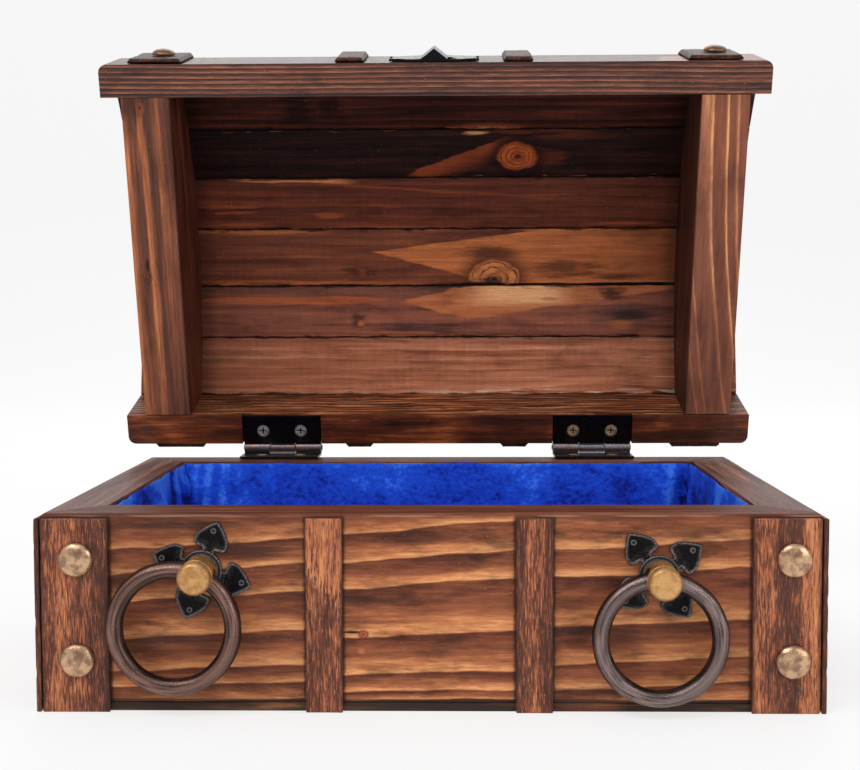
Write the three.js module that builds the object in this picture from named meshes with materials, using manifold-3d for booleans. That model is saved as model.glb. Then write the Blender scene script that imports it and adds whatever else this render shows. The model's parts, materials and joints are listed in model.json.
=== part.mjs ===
// A small barrel-top wooden chest, standing open.
// Units are millimetres, +Z is up, the front faces -Y.
// The origin is the centre of the chest's underside.

import * as THREE from 'three';
import { mergeVertices } from 'three/addons/utils/BufferGeometryUtils.js';
import Module from 'manifold-3d';

const wasm = await Module();
wasm.setup();

// ---------- driving dimensions ----------

const BODY_LENGTH = 288;
const BODY_DEPTH = 184;
const BODY_HEIGHT = 73;
const GAP = 0.2;
const RUNNING_GAP = 0.3;

const STRAP_THICKNESS = 2.2;
const STRAP_EASE = 0.8;
const FRONT_BOARD_THICKNESS = 20.8;
const END_BOARD_THICKNESS = 19.8;
const BOTTOM_BOARD_THICKNESS = 3.4;
const EDGE_ROUND = 1.6;

const CORNER_STRAP_WIDTH = 24.8;
const MID_STRAP_WIDTH = 13.6;
const MID_STRAP_X = 38.3;

const LINING_THICKNESS = 1.4;
const LINING_TOP_DROP = 2.4;

const LID_OPEN_DEGREES = 75;
const LID_SEAT_GAP = 0.5;
const LID_LENGTH = 305.4;
const RAIL_THICKNESS = 14.8;
const RAIL_HEIGHT = 32;
const RAIL_CORNER_ROUND = 3.6;
const LID_END_OUTER_X = 143.4;
const LID_END_THICKNESS = 22.3;
const DOME_RISE = 20;
const STAVE_THICKNESS = 8;
// stave widths from the front rail to the back rail, uneven as the sawn boards are
const STAVE_WIDTHS = [23.2, 25.8, 26.9, 29.2, 26.3, 29.6];
// how far each stave stops short of, or runs past, the rails at its left end
const STAVE_LEFT_OFFSETS = [0.4, -0.6, -0.9, -2.0, -1.4, 0.1];

const LID_STRAP_THICKNESS = 2.4;
const LID_CORNER_STRAP_X = 127.2;
const LID_STRAP_SETBACK = 1.2;

const HINGE_X = 76.5;
const HINGE_LENGTH = 38.2;
const LEAF_WIDTH = 14.1;
const LEAF_THICKNESS = 1.2;
const PIN_RADIUS = 1.2;
const BARREL_RADIUS = 3;
const PIN_BEHIND_BACK = 3.4;
const PIN_ABOVE_RIM = 4;
const MORTISE_DEPTH = 2.7;
const SCREW_SPACING = 18.6;
const SCREW_HEAD_RADIUS = 3.1;
const SCREW_SHANK_RADIUS = 1.3;
const SCREW_HEAD_DEPTH = 1.2;
const SCREW_LENGTH = 10;
const SCREW_SETBACK = 6.3;

// the two handles were screwed on by eye, so each has its own place
const HANDLE_PLACES = { left: [-82.8, 52.3], right: [83.2, 50.5] };
const HANDLE_TURNS = { left: 24.5, right: 1 };
const PLATE_TURNS = { left: 19, right: 54 };
const PLATE_THICKNESS = 1.2;
const PLATE_HUB_RADIUS = 6.9;
const PLATE_TIP_RADIUS = 19;
const BOSS_RADIUS = 7.6;
const BOSS_RISE = 0.9;
const POST_RADIUS = 6.15;
const POST_LENGTH = 18;
const SHANK_RADIUS = 2;
const SHANK_DEPTH = 9;
const SHANK_HOLE_RADIUS = SHANK_RADIUS + 0.4;
const SHANK_HOLE_LENGTH = SHANK_DEPTH + 3;
const POST_HOLE_OUT = 8.6;
const RING_RADIUS = 21.4;
const RING_BAR_RADIUS = 3.25;
const RING_SLACK = 0.5;

const NAIL_RADIUS = 6.4;
const NAIL_RISE = 3;
const NAIL_EDGE = 0.5;
const FRONT_NAIL_X = { left: -128.5, right: 131.6 };
const FRONT_NAIL_HEIGHTS = { upper: 56.4, lower: 19.3 };
const LID_NAIL_X = { left: -125.5, right: 129 };
const LID_NAIL_HEIGHT = 16;
const LID_NAIL_RADIUS = 5.4;

// ---------- derived positions ----------

const BOARD_X = BODY_LENGTH / 2 - STRAP_THICKNESS;
const BOARD_Y = BODY_DEPTH / 2 - STRAP_THICKNESS;
const INNER_X = BOARD_X - END_BOARD_THICKNESS;
const INNER_Y = BOARD_Y - FRONT_BOARD_THICKNESS;
const PIN = new THREE.Vector3(0, BODY_DEPTH / 2 + PIN_BEHIND_BACK, BODY_HEIGHT + PIN_ABOVE_RIM);
const LID_RIM_Z = BODY_HEIGHT + LID_SEAT_GAP;
const RAIL_INNER_Y = BODY_DEPTH / 2 - RAIL_THICKNESS;
const DOME_RADIUS = (RAIL_INNER_Y ** 2 + DOME_RISE ** 2) / (2 * DOME_RISE);
const DOME_HALF_ANGLE = Math.asin(RAIL_INNER_Y / DOME_RADIUS);
const DOME_CENTRE_Z = LID_RIM_Z + RAIL_HEIGHT + DOME_RISE - DOME_RADIUS;

// ---------- materials ----------

const FINISHES = {
  pine: { color: 0x8a5530, roughness: 0.55, metalness: 0 },
  lidPine: { color: 0x5a3420, roughness: 0.5, metalness: 0 },
  strapWood: { color: 0x5e3620, roughness: 0.6, metalness: 0 },
  velvet: { color: 0x1438c4, roughness: 0.95, metalness: 0 },
  blackIron: { color: 0x1d1b1c, roughness: 0.4, metalness: 0.8 },
  ringIron: { color: 0x4a3a32, roughness: 0.38, metalness: 0.9 },
  brass: { color: 0xb8935a, roughness: 0.35, metalness: 1 },
  hingeSteel: { color: 0x262326, roughness: 0.4, metalness: 0.85 },
  screwSteel: { color: 0xa8a29c, roughness: 0.3, metalness: 1 },
};

// ---------- solids ----------

function toSolid(geometry) {
  const bare = geometry.clone();
  bare.deleteAttribute('normal');
  bare.deleteAttribute('uv');
  const merged = mergeVertices(bare, 1e-4);
  return new wasm.Manifold(new wasm.Mesh({
    numProp: 3,
    vertProperties: new Float32Array(merged.attributes.position.array),
    triVerts: new Uint32Array(merged.index.array),
  }));
}

function toGeometry(solid) {
  const mesh = solid.getMesh();
  const geometry = new THREE.BufferGeometry();
  geometry.setAttribute('position', new THREE.BufferAttribute(mesh.vertProperties, 3));
  geometry.setIndex(new THREE.BufferAttribute(mesh.triVerts, 1));
  geometry.computeVertexNormals();
  return geometry;
}

function cut(geometry, tools) {
  const result = tools.reduce((solid, tool) => solid.subtract(toSolid(tool)), toSolid(geometry));
  return toGeometry(result);
}

function join(geometries) {
  const solids = geometries.map(toSolid);
  return toGeometry(solids.reduce((sum, solid) => sum.add(solid)));
}

function box(low, high) {
  const size = high.map((value, i) => value - low[i]);
  const geometry = new THREE.BoxGeometry(...size);
  return geometry.translate(...low.map((value, i) => value + size[i] / 2));
}

function outline(points) {
  return new THREE.Shape(points.map(([u, v]) => new THREE.Vector2(u, v)));
}

function extrude(shape, depth, curveSegments = 8) {
  return new THREE.ExtrudeGeometry(shape, { depth, bevelEnabled: false, curveSegments });
}

// a (y, z) outline drawn out along +X from x0 to x1
function extrudeX(shape, x0, x1) {
  const turn = new THREE.Matrix4().makeBasis(
    new THREE.Vector3(0, 1, 0), new THREE.Vector3(0, 0, 1), new THREE.Vector3(1, 0, 0));
  return extrude(shape, x1 - x0).applyMatrix4(turn).translate(x0, 0, 0);
}

// an (x, z) outline drawn out from y0 towards the front, by depth
function extrudeForward(shape, y0, depth, curveSegments) {
  const turn = new THREE.Matrix4().makeBasis(
    new THREE.Vector3(1, 0, 0), new THREE.Vector3(0, 0, 1), new THREE.Vector3(0, -1, 0));
  return extrude(shape, depth, curveSegments).applyMatrix4(turn).translate(0, y0, 0);
}

function extrudeUp(shape, z0, z1) {
  return extrude(shape, z1 - z0).translate(0, 0, z0);
}

function cylinderAlongX(radius, x0, x1, y, z, sides) {
  const geometry = new THREE.CylinderGeometry(radius, radius, x1 - x0, sides);
  return geometry.rotateZ(Math.PI / 2).translate((x0 + x1) / 2, y, z);
}

// a turned piece whose axis is Z
function turned(profile, sides) {
  const points = profile.map(([r, z]) => new THREE.Vector2(r, z));
  return new THREE.LatheGeometry(points, sides).rotateX(Math.PI / 2);
}

// ---------- scene graph ----------

const chest = new THREE.Group();
const lid = new THREE.Group();
lid.position.copy(PIN);
lid.rotation.x = -THREE.MathUtils.degToRad(LID_OPEN_DEGREES);
const lidParts = new THREE.Group();
lidParts.position.copy(PIN).negate();
lid.add(lidParts);
chest.add(lid);

function addPart(parent, name, geometry, finish) {
  const mesh = new THREE.Mesh(geometry, new THREE.MeshStandardMaterial(FINISHES[finish]));
  mesh.name = name;
  parent.add(mesh);
  return mesh;
}

const SIDES = [['left', -1], ['right', 1]];
const ENDS = [['front', -1], ['back', 1]];

// ---------- body boards ----------

// A wall board's section, thickness against height, with its top outer edge rounded.
function wallSection(thickness) {
  const low = BOTTOM_BOARD_THICKNESS + GAP;
  const shape = new THREE.Shape();
  shape.moveTo(-thickness, low);
  shape.lineTo(0, low);
  shape.lineTo(0, BODY_HEIGHT - EDGE_ROUND);
  shape.absarc(-EDGE_ROUND, BODY_HEIGHT - EDGE_ROUND, EDGE_ROUND, 0, Math.PI / 2, false);
  shape.lineTo(-thickness, BODY_HEIGHT);
  return shape;
}

// The four walls meet in mitres: each is drawn long and trimmed by two upright cutters.
function wallBoard(outer, thickness, half, innerHalf) {
  const long = extrudeX(wallSection(thickness), -half, half).translate(0, outer, 0);
  const cutters = [-1, 1].map((side) => {
    const corner = outline([
      [side * (half - GAP), outer + 1],
      [side * (half - GAP), outer],
      [side * (innerHalf - GAP), outer - thickness],
      [side * (innerHalf - GAP), outer - thickness - 1],
      [side * (half + 1), outer - thickness - 1],
      [side * (half + 1), outer + 1],
    ]);
    return extrudeUp(corner, 0, BODY_HEIGHT + 1);
  });
  return cut(long, cutters);
}

function hingeScrewXs(side) {
  return [-1, 1].map((half) => side * HINGE_X + half * SCREW_SPACING / 2);
}

const SCREW_Y = PIN.y - PIN_BEHIND_BACK - SCREW_SETBACK;

function screwPilot(x, headZ, direction) {
  const pilot = new THREE.CylinderGeometry(
    SCREW_SHANK_RADIUS + RUNNING_GAP, SCREW_SHANK_RADIUS + RUNNING_GAP, SCREW_LENGTH + 1, 12);
  return pilot.rotateX(Math.PI / 2)
    .translate(x, SCREW_Y, headZ + direction * (SCREW_LENGTH + 1) / 2);
}

const BODY_LEAF_TOP = BODY_HEIGHT + RUNNING_GAP + LEAF_THICKNESS;
const LID_LEAF_UNDERSIDE = BODY_LEAF_TOP + RUNNING_GAP;

function addBodyBoards() {
  const bottom = box([-BOARD_X, -BOARD_Y, 0], [BOARD_X, BOARD_Y, BOTTOM_BOARD_THICKNESS]);
  addPart(chest, 'bottom_board', bottom, 'pine');

  const longBoard = () => wallBoard(BOARD_Y, FRONT_BOARD_THICKNESS, BOARD_X, INNER_X);
  const shankHoles = SIDES.map(([name]) => {
    const [x, z] = HANDLE_PLACES[name];
    const hole = new THREE.CylinderGeometry(
      SHANK_HOLE_RADIUS, SHANK_HOLE_RADIUS, SHANK_HOLE_LENGTH, 16);
    return hole.translate(x, -BOARD_Y + SHANK_HOLE_LENGTH / 2 - 1, z);
  });
  addPart(chest, 'front_board', cut(longBoard().rotateZ(Math.PI), shankHoles), 'pine');

  const pilots = [-1, 1].flatMap(hingeScrewXs).map((x) => screwPilot(x, BODY_LEAF_TOP, -1));
  addPart(chest, 'back_board', cut(longBoard(), pilots), 'pine');

  for (const [name, side] of SIDES) {
    const board = wallBoard(BOARD_X, END_BOARD_THICKNESS, BOARD_Y, INNER_Y);
    addPart(chest, `${name}_end_board`, board.rotateZ(-side * Math.PI / 2), 'pine');
  }
}

// ---------- body straps ----------

// An upright flat strap with its top outer edge eased, facing +Y at y = outer.
function uprightStrap(x0, x1, outer) {
  const ease = STRAP_EASE;
  const shape = outline([
    [outer - STRAP_THICKNESS + GAP, 0],
    [outer, 0],
    [outer, BODY_HEIGHT - EDGE_ROUND - ease],
    [outer - ease, BODY_HEIGHT - EDGE_ROUND],
    [outer - STRAP_THICKNESS + GAP, BODY_HEIGHT - EDGE_ROUND],
  ]);
  return extrudeX(shape, x0, x1);
}

function addBodyStraps() {
  const cornerOuter = BOARD_X - GAP;
  for (const [face, facing] of ENDS) {
    for (const [name, side] of SIDES) {
      const turn = facing < 0 ? Math.PI : 0;
      const mirrored = facing < 0 ? -side : side;
      const corner = mirrored < 0
        ? uprightStrap(-cornerOuter, -cornerOuter + CORNER_STRAP_WIDTH, BODY_DEPTH / 2)
        : uprightStrap(cornerOuter - CORNER_STRAP_WIDTH, cornerOuter, BODY_DEPTH / 2);
      addPart(chest, `${face}_corner_strap_${name}`, corner.rotateZ(turn), 'strapWood');
      const centre = mirrored * MID_STRAP_X;
      const mid = uprightStrap(
        centre - MID_STRAP_WIDTH / 2, centre + MID_STRAP_WIDTH / 2, BODY_DEPTH / 2);
      addPart(chest, `${face}_mid_strap_${name}`, mid.rotateZ(turn), 'strapWood');
    }
  }
  for (const [name, side] of SIDES) {
    for (const [face, facing] of ENDS) {
      const far = BODY_DEPTH / 2;
      const strap = side * facing > 0
        ? uprightStrap(-far, -far + CORNER_STRAP_WIDTH, BODY_LENGTH / 2)
        : uprightStrap(far - CORNER_STRAP_WIDTH, far, BODY_LENGTH / 2);
      addPart(chest, `${name}_end_strap_${face}`, strap.rotateZ(-side * Math.PI / 2), 'strapWood');
    }
  }
}

// ---------- velvet lining ----------

function addLining() {
  const x = INNER_X - RUNNING_GAP;
  const y = INNER_Y - RUNNING_GAP;
  const floor = BOTTOM_BOARD_THICKNESS + RUNNING_GAP;
  const top = BODY_HEIGHT - LINING_TOP_DROP;
  const outer = box([-x, -y, floor], [x, y, top]);
  const t = LINING_THICKNESS;
  const inner = box([-x + t, -y + t, floor + t], [x - t, y - t, top + 1]);
  addPart(chest, 'velvet_lining', cut(outer, [inner]), 'velvet');
}

// ---------- ring handles ----------

// Quatrefoil backplate: four spade-shaped petals on narrow necks round a small disc.
function plateOutline() {
  const hub = PLATE_HUB_RADIUS;
  // (distance out, half width) from the neck over the shoulders to the tip
  const petal = [
    [hub, 2.6], [8.6, 2.2], [9.6, 5], [11.4, 6.3], [14, 5.4], [PLATE_TIP_RADIUS, 0]];
  const points = [];
  for (let arm = 0; arm < 4; arm += 1) {
    const angle = arm * Math.PI / 2;
    const place = (r, w) => [
      r * Math.cos(angle) - w * Math.sin(angle),
      r * Math.sin(angle) + w * Math.cos(angle),
    ];
    petal.forEach(([r, w]) => points.push(place(r, -w)));
    petal.slice(0, -1).reverse().forEach(([r, w]) => points.push(place(r, w)));
    const start = Math.atan2(petal[0][1], hub);
    const end = Math.PI / 2 - start;
    for (let step = 1; step < 4; step += 1) {
      const bend = start + (end - start) * step / 4;
      const r = Math.hypot(hub, petal[0][1]);
      points.push(place(r * Math.cos(bend), r * Math.sin(bend)));
    }
  }
  return outline(points);
}

// The plate stands from z = 0 to its boss top; its shank hole runs through.
function handlePlate() {
  const flat = extrude(plateOutline(), PLATE_THICKNESS);
  const boss = turned([
    [0, 0.1],
    [BOSS_RADIUS, 0.1],
    [BOSS_RADIUS, PLATE_THICKNESS + 0.3],
    [BOSS_RADIUS - 0.6, PLATE_THICKNESS + BOSS_RISE],
    [0, PLATE_THICKNESS + BOSS_RISE],
  ], 24);
  const hole = new THREE.CylinderGeometry(SHANK_HOLE_RADIUS, SHANK_HOLE_RADIUS, 10, 16);
  return cut(join([flat, boss]), [hole.rotateX(Math.PI / 2)]);
}

// The brass post stands on a turned shank that runs through the plate into the board.
function handlePost() {
  const foot = PLATE_THICKNESS + BOSS_RISE + RUNNING_GAP;
  const r = POST_RADIUS;
  const post = turned([
    [0, -SHANK_DEPTH],
    [SHANK_RADIUS - 0.6, -SHANK_DEPTH],
    [SHANK_RADIUS, -SHANK_DEPTH + 1],
    [SHANK_RADIUS, foot],
    [r, foot],
    [r, POST_LENGTH - 3.2],
    [r - 0.4, POST_LENGTH - 2.9],
    [r - 0.4, POST_LENGTH - 2.5],
    [r, POST_LENGTH - 2.2],
    [r - 0.3, POST_LENGTH - 0.9],
    [r - 1.2, POST_LENGTH - 0.2],
    [r - 2.4, POST_LENGTH],
    [0, POST_LENGTH],
  ], 28);
  const sagitta = RING_RADIUS - Math.sqrt(RING_RADIUS ** 2 - r ** 2);
  const holeRadius = RING_BAR_RADIUS + sagitta / 2 + RING_SLACK + RUNNING_GAP;
  const hole = cylinderAlongX(holeRadius, -r - 2, r + 2, 0, POST_HOLE_OUT, 20);
  return { geometry: cut(post, [hole]), drop: RING_RADIUS - sagitta / 2 + RING_SLACK };
}

// The pull is a closed ring of round bar, lying in the plane of the board.
function pullRing() {
  const sides = 12;
  const profile = [];
  for (let i = 0; i <= sides; i += 1) {
    const angle = i / sides * Math.PI * 2;
    profile.push(new THREE.Vector2(
      RING_RADIUS + RING_BAR_RADIUS * Math.cos(angle), RING_BAR_RADIUS * Math.sin(angle)));
  }
  return new THREE.LatheGeometry(profile, 40).rotateX(Math.PI / 2);
}

function addHandles() {
  for (const [name] of SIDES) {
    const mount = new THREE.Group();
    const [x, z] = HANDLE_PLACES[name];
    mount.position.set(x, -BOARD_Y - GAP, z);
    mount.rotation.x = Math.PI / 2;
    chest.add(mount);

    const plate = addPart(mount, `handle_plate_${name}`, handlePlate(), 'blackIron');
    plate.rotation.z = -THREE.MathUtils.degToRad(PLATE_TURNS[name]);

    const swivel = new THREE.Group();
    swivel.rotation.z = -THREE.MathUtils.degToRad(HANDLE_TURNS[name]);
    mount.add(swivel);
    const { geometry, drop } = handlePost();
    addPart(swivel, `handle_post_${name}`, geometry, 'brass');
    const ring = addPart(swivel, `pull_ring_${name}`, pullRing(), 'ringIron');
    ring.position.set(0, -drop, POST_HOLE_OUT);
  }
}

// ---------- brass nails ----------

// A domed nail head lying on z = 0, without its hidden shank.
function nailHead(radius) {
  const profile = [[0, GAP], [radius, GAP]];
  for (let i = 1; i <= 4; i += 1) {
    const angle = i / 4 * Math.PI / 2;
    profile.push([
      radius * Math.cos(angle), NAIL_EDGE + (NAIL_RISE - NAIL_EDGE) * Math.sin(angle)]);
  }
  profile[profile.length - 1][0] = 0;
  return turned(profile, 24);
}

function addFrontNails() {
  for (const [name] of SIDES) {
    for (const [level, z] of Object.entries(FRONT_NAIL_HEIGHTS)) {
      const nail = addPart(chest, `front_nail_${name}_${level}`, nailHead(NAIL_RADIUS), 'brass');
      nail.rotation.x = Math.PI / 2;
      nail.position.set(FRONT_NAIL_X[name], -BODY_DEPTH / 2, z);
    }
  }
}

// ---------- lid rails, ends and staves ----------

// a point at a radius past the dome's inner arc, at an angle from the crown towards the back
function domePoint(angle, beyond = 0) {
  const r = DOME_RADIUS + beyond;
  return [r * Math.sin(angle), DOME_CENTRE_Z + r * Math.cos(angle)];
}

// Rail section, as the back rail: a tall board whose top is bevelled to carry on the dome.
function railSection() {
  const [innerY, innerZ] = domePoint(DOME_HALF_ANGLE);
  const [crestY, crestZ] = domePoint(DOME_HALF_ANGLE, STAVE_THICKNESS);
  const outer = BODY_DEPTH / 2;
  const shoulder = crestZ - (outer - crestY) * Math.tan(DOME_HALF_ANGLE);
  return outline([
    [innerY, LID_RIM_Z],
    [outer, LID_RIM_Z],
    [outer, shoulder],
    [crestY, crestZ],
    [innerY, innerZ],
  ]);
}

// Uprights cut a rounded corner at each end of a rail, on its outer face.
function railEndCutters() {
  const r = RAIL_CORNER_ROUND;
  const outer = BODY_DEPTH / 2;
  return [-1, 1].map((side) => {
    const points = [];
    for (let i = 0; i <= 5; i += 1) {
      const angle = i / 5 * Math.PI / 2;
      points.push([
        side * (LID_LENGTH / 2 - r + r * Math.sin(angle)),
        outer - r + r * Math.cos(angle),
      ]);
    }
    points.push([side * (LID_LENGTH / 2 + 1), outer - r]);
    points.push([side * (LID_LENGTH / 2 + 1), outer + 1]);
    points.push([side * (LID_LENGTH / 2 - r), outer + 1]);
    return extrudeUp(outline(points), LID_RIM_Z - 1, LID_RIM_Z + RAIL_HEIGHT + DOME_RISE);
  });
}

function addRails() {
  const rail = () => cut(
    extrudeX(railSection(), -LID_LENGTH / 2, LID_LENGTH / 2), railEndCutters());
  addPart(lidParts, 'lid_front_rail', rail().rotateZ(Math.PI), 'lidPine');

  const mortises = [-1, 1].map((side) => {
    const half = HINGE_LENGTH / 2 + 0.4;
    return box(
      [side * HINGE_X - half, RAIL_INNER_Y - 1, LID_RIM_Z - 1],
      [side * HINGE_X + half, BODY_DEPTH / 2 + 1, LID_RIM_Z + MORTISE_DEPTH]);
  });
  const pilots = [-1, 1].flatMap(hingeScrewXs)
    .map((x) => screwPilot(x, LID_LEAF_UNDERSIDE, 1));
  addPart(lidParts, 'lid_back_rail', cut(rail(), [...mortises, ...pilots]), 'lidPine');
}

function arcPoints(from, to, beyond, steps) {
  const points = [];
  for (let i = 0; i <= steps; i += 1) {
    points.push(domePoint(from + (to - from) * i / steps, beyond));
  }
  return points;
}

function staveAngles() {
  const total = STAVE_WIDTHS.reduce((sum, width) => sum + width);
  const angles = [-DOME_HALF_ANGLE];
  for (const width of STAVE_WIDTHS) {
    angles.push(angles[angles.length - 1] + 2 * DOME_HALF_ANGLE * width / total);
  }
  return angles;
}

// Each end board fills in under the staves' inner faces, between the rails.
function addLidEnds() {
  const y = RAIL_INNER_Y - GAP;
  const edge = Math.asin(y / DOME_RADIUS);
  const joints = staveAngles().slice(1, -1).map((angle) => domePoint(angle, -GAP));
  const profile = outline([
    [-y, LID_RIM_Z],
    [y, LID_RIM_Z],
    domePoint(edge, -GAP),
    ...joints.reverse(),
    domePoint(-edge, -GAP),
  ]);
  for (const [name, side] of SIDES) {
    const near = LID_END_OUTER_X - LID_END_THICKNESS;
    const board = side < 0
      ? extrudeX(profile, -LID_END_OUTER_X, -near)
      : extrudeX(profile, near, LID_END_OUTER_X);
    addPart(lidParts, `lid_end_board_${name}`, board, 'lidPine');
  }
}

function addStaves() {
  const angles = staveAngles();
  const half = LID_LENGTH / 2;
  STAVE_WIDTHS.forEach((width, i) => {
    const ease = GAP / 2 / DOME_RADIUS;
    const from = angles[i] + ease;
    const to = angles[i + 1] - ease;
    const section = outline([
      domePoint(from),
      domePoint(to),
      domePoint(to, STAVE_THICKNESS),
      domePoint(from, STAVE_THICKNESS),
    ].reverse());
    const stave = extrudeX(section, -half - STAVE_LEFT_OFFSETS[i], half);
    addPart(lidParts, `lid_stave_${i + 1}`, stave, 'lidPine');
  });
}

// ---------- lid straps ----------

// The path of a strap's underside over the lid, from the front rim round to the back rim.
function strapPath(beyond) {
  const outer = BODY_DEPTH / 2 + beyond;
  const start = LID_RIM_Z + LID_STRAP_SETBACK;
  const rise = STAVE_THICKNESS + beyond;
  const [crestY, crestZ] = domePoint(DOME_HALF_ANGLE, rise);
  const shoulder = crestZ - (outer - crestY) * Math.tan(DOME_HALF_ANGLE);
  return [
    [-outer, start],
    [-outer, shoulder],
    ...staveAngles().map((angle) => domePoint(angle, rise)),
    [outer, shoulder],
    [outer, start],
  ];
}

function addLidStraps() {
  const inside = strapPath(GAP);
  const outside = strapPath(GAP + LID_STRAP_THICKNESS);
  const profile = outline([...inside, ...outside.reverse()].reverse());
  const rows = [
    ['corner', LID_CORNER_STRAP_X, CORNER_STRAP_WIDTH],
    ['mid', MID_STRAP_X, MID_STRAP_WIDTH],
  ];
  for (const [kind, centre, width] of rows) {
    for (const [name, side] of SIDES) {
      const x = side * centre;
      const strap = extrudeX(profile, x - width / 2, x + width / 2);
      addPart(lidParts, `lid_${kind}_strap_${name}`, strap, 'strapWood');
    }
  }
}

// ---------- lid ornament and nails ----------

// A stamped plate on the front rail: flat wings, two dished lobes and a gabled finger-lift.
function addOrnament() {
  const plate = new THREE.Shape();
  plate.moveTo(-20.5, 3);
  plate.quadraticCurveTo(-15, 2.4, -14, 0.8);
  plate.quadraticCurveTo(-10, -1.4, -6.5, 0.8);
  plate.lineTo(6.5, 0.8);
  plate.quadraticCurveTo(10, -1.4, 14, 0.8);
  plate.quadraticCurveTo(15, 2.4, 20.5, 3);
  plate.quadraticCurveTo(17, 9, 20.5, 15);
  plate.quadraticCurveTo(12, 15, 7, 20);
  plate.quadraticCurveTo(4, 23, 0, 28);
  plate.quadraticCurveTo(-4, 23, -7, 20);
  plate.quadraticCurveTo(-12, 15, -20.5, 15);
  plate.quadraticCurveTo(-17, 9, -20.5, 3);
  const thickness = 1.2;
  const flat = extrudeForward(plate, 0, thickness, 5);
  const keel = new THREE.ExtrudeGeometry(outline([[-7, 0], [7, 0], [0, 5.4]]), {
    depth: 17,
    bevelEnabled: false,
  });
  keel.applyMatrix4(new THREE.Matrix4().makeBasis(
    new THREE.Vector3(-1, 0, 0), new THREE.Vector3(0, -1, 0), new THREE.Vector3(0, 0, 1)));
  keel.translate(0, -0.4, 0.9);
  const ornament = join([flat, keel]);
  ornament.translate(0, -BODY_DEPTH / 2 - RUNNING_GAP, LID_RIM_Z + 0.8);
  addPart(lidParts, 'lid_front_ornament', ornament, 'blackIron');
}

function addLidNails() {
  for (const [name] of SIDES) {
    const nail = addPart(lidParts, `lid_nail_${name}`, nailHead(LID_NAIL_RADIUS), 'brass');
    nail.rotation.x = Math.PI / 2;
    nail.position.set(
      LID_NAIL_X[name],
      -BODY_DEPTH / 2 - GAP - LID_STRAP_THICKNESS - GAP,
      LID_RIM_Z + LID_NAIL_HEIGHT);
  }
}

// ---------- hinges ----------

function knuckles(x, spans) {
  return spans.map(([x0, x1]) => cylinderAlongX(BARREL_RADIUS, x + x0, x + x1, PIN.y, PIN.z, 18));
}

function screwSinks(x, z, facing) {
  return [-1, 1].map((half) => {
    const reach = SCREW_HEAD_DEPTH;
    const sink = turned([
      [0, -reach - 1],
      [SCREW_SHANK_RADIUS + RUNNING_GAP, -reach - 1],
      [SCREW_SHANK_RADIUS + RUNNING_GAP, -reach],
      [SCREW_HEAD_RADIUS + RUNNING_GAP, 0],
      [SCREW_HEAD_RADIUS + RUNNING_GAP, 1],
      [0, 1],
    ], 16);
    const turn = facing > 0 ? 0 : Math.PI;
    return sink.rotateX(turn).translate(x + half * SCREW_SPACING / 2, SCREW_Y, z);
  });
}

// A leaf is a flat plate that runs out to knuckles round the pin.
function hingeLeaf(x, z0, faceZ, facing, spans) {
  const half = HINGE_LENGTH / 2;
  const plateEnd = BODY_DEPTH / 2 - LEAF_WIDTH;
  const clear = PIN.y - BARREL_RADIUS - RUNNING_GAP;
  const plate = box([x - half, plateEnd, z0], [x + half, clear, z0 + LEAF_THICKNESS]);
  const tongues = spans.map(([x0, x1]) => box(
    [x + x0, clear - 0.2, z0], [x + x1, PIN.y, z0 + LEAF_THICKNESS]));
  const bore = cylinderAlongX(
    PIN_RADIUS + RUNNING_GAP, x - half - 1, x + half + 1, PIN.y, PIN.z, 14);
  return cut(join([plate, ...tongues, ...knuckles(x, spans)]),
    [bore, ...screwSinks(x, faceZ, facing)]);
}

function countersunkScrew() {
  const screw = turned([
    [0, -SCREW_LENGTH],
    [0.5, -SCREW_LENGTH],
    [SCREW_SHANK_RADIUS, -SCREW_LENGTH + 2],
    [SCREW_SHANK_RADIUS, -SCREW_HEAD_DEPTH],
    [SCREW_HEAD_RADIUS, -0.1],
    [SCREW_HEAD_RADIUS, 0],
    [0, 0],
  ], 14);
  const slot = [1, 0].map((turn) => (
    box([-1.7, -0.35, -0.8], [1.7, 0.35, 1]).rotateZ(turn * Math.PI / 2)));
  return cut(screw, slot);
}

function addHinges() {
  const third = HINGE_LENGTH / 6;
  const middle = [[-third + RUNNING_GAP, third - RUNNING_GAP]];
  const outer = [[-HINGE_LENGTH / 2, -third], [third, HINGE_LENGTH / 2]];
  for (const [name, side] of SIDES) {
    const x = side * HINGE_X;
    const bodyLeaf = hingeLeaf(x, BODY_HEIGHT + RUNNING_GAP, BODY_LEAF_TOP, 1, outer);
    addPart(chest, `hinge_body_leaf_${name}`, bodyLeaf, 'hingeSteel');
    const lidLeaf = hingeLeaf(x, LID_LEAF_UNDERSIDE, LID_LEAF_UNDERSIDE, -1, middle);
    addPart(lidParts, `hinge_lid_leaf_${name}`, lidLeaf, 'hingeSteel');
    const pin = cylinderAlongX(
      PIN_RADIUS, x - HINGE_LENGTH / 2 - 0.5, x + HINGE_LENGTH / 2 + 0.5, PIN.y, PIN.z, 16);
    addPart(chest, `hinge_pin_${name}`, pin, 'hingeSteel');
    hingeScrewXs(side).forEach((screwX, i) => {
      const bodyScrew = countersunkScrew().translate(screwX, SCREW_Y, BODY_LEAF_TOP);
      addPart(chest, `hinge_body_screw_${name}_${i + 1}`, bodyScrew, 'screwSteel');
      const lidScrew = countersunkScrew().rotateX(Math.PI)
        .translate(screwX, SCREW_Y, LID_LEAF_UNDERSIDE);
      addPart(lidParts, `hinge_lid_screw_${name}_${i + 1}`, lidScrew, 'screwSteel');
    });
  }
}

addBodyBoards();
addBodyStraps();
addLining();
addHandles();
addFrontNails();
addRails();
addLidEnds();
addStaves();
addLidStraps();
addOrnament();
addLidNails();
addHinges();

export default chest;
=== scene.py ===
"""The looks of a small barrel-top wooden chest, standing open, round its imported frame."""

import json
import math

import bpy
from mathutils import Euler, Matrix, Vector, noise

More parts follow.
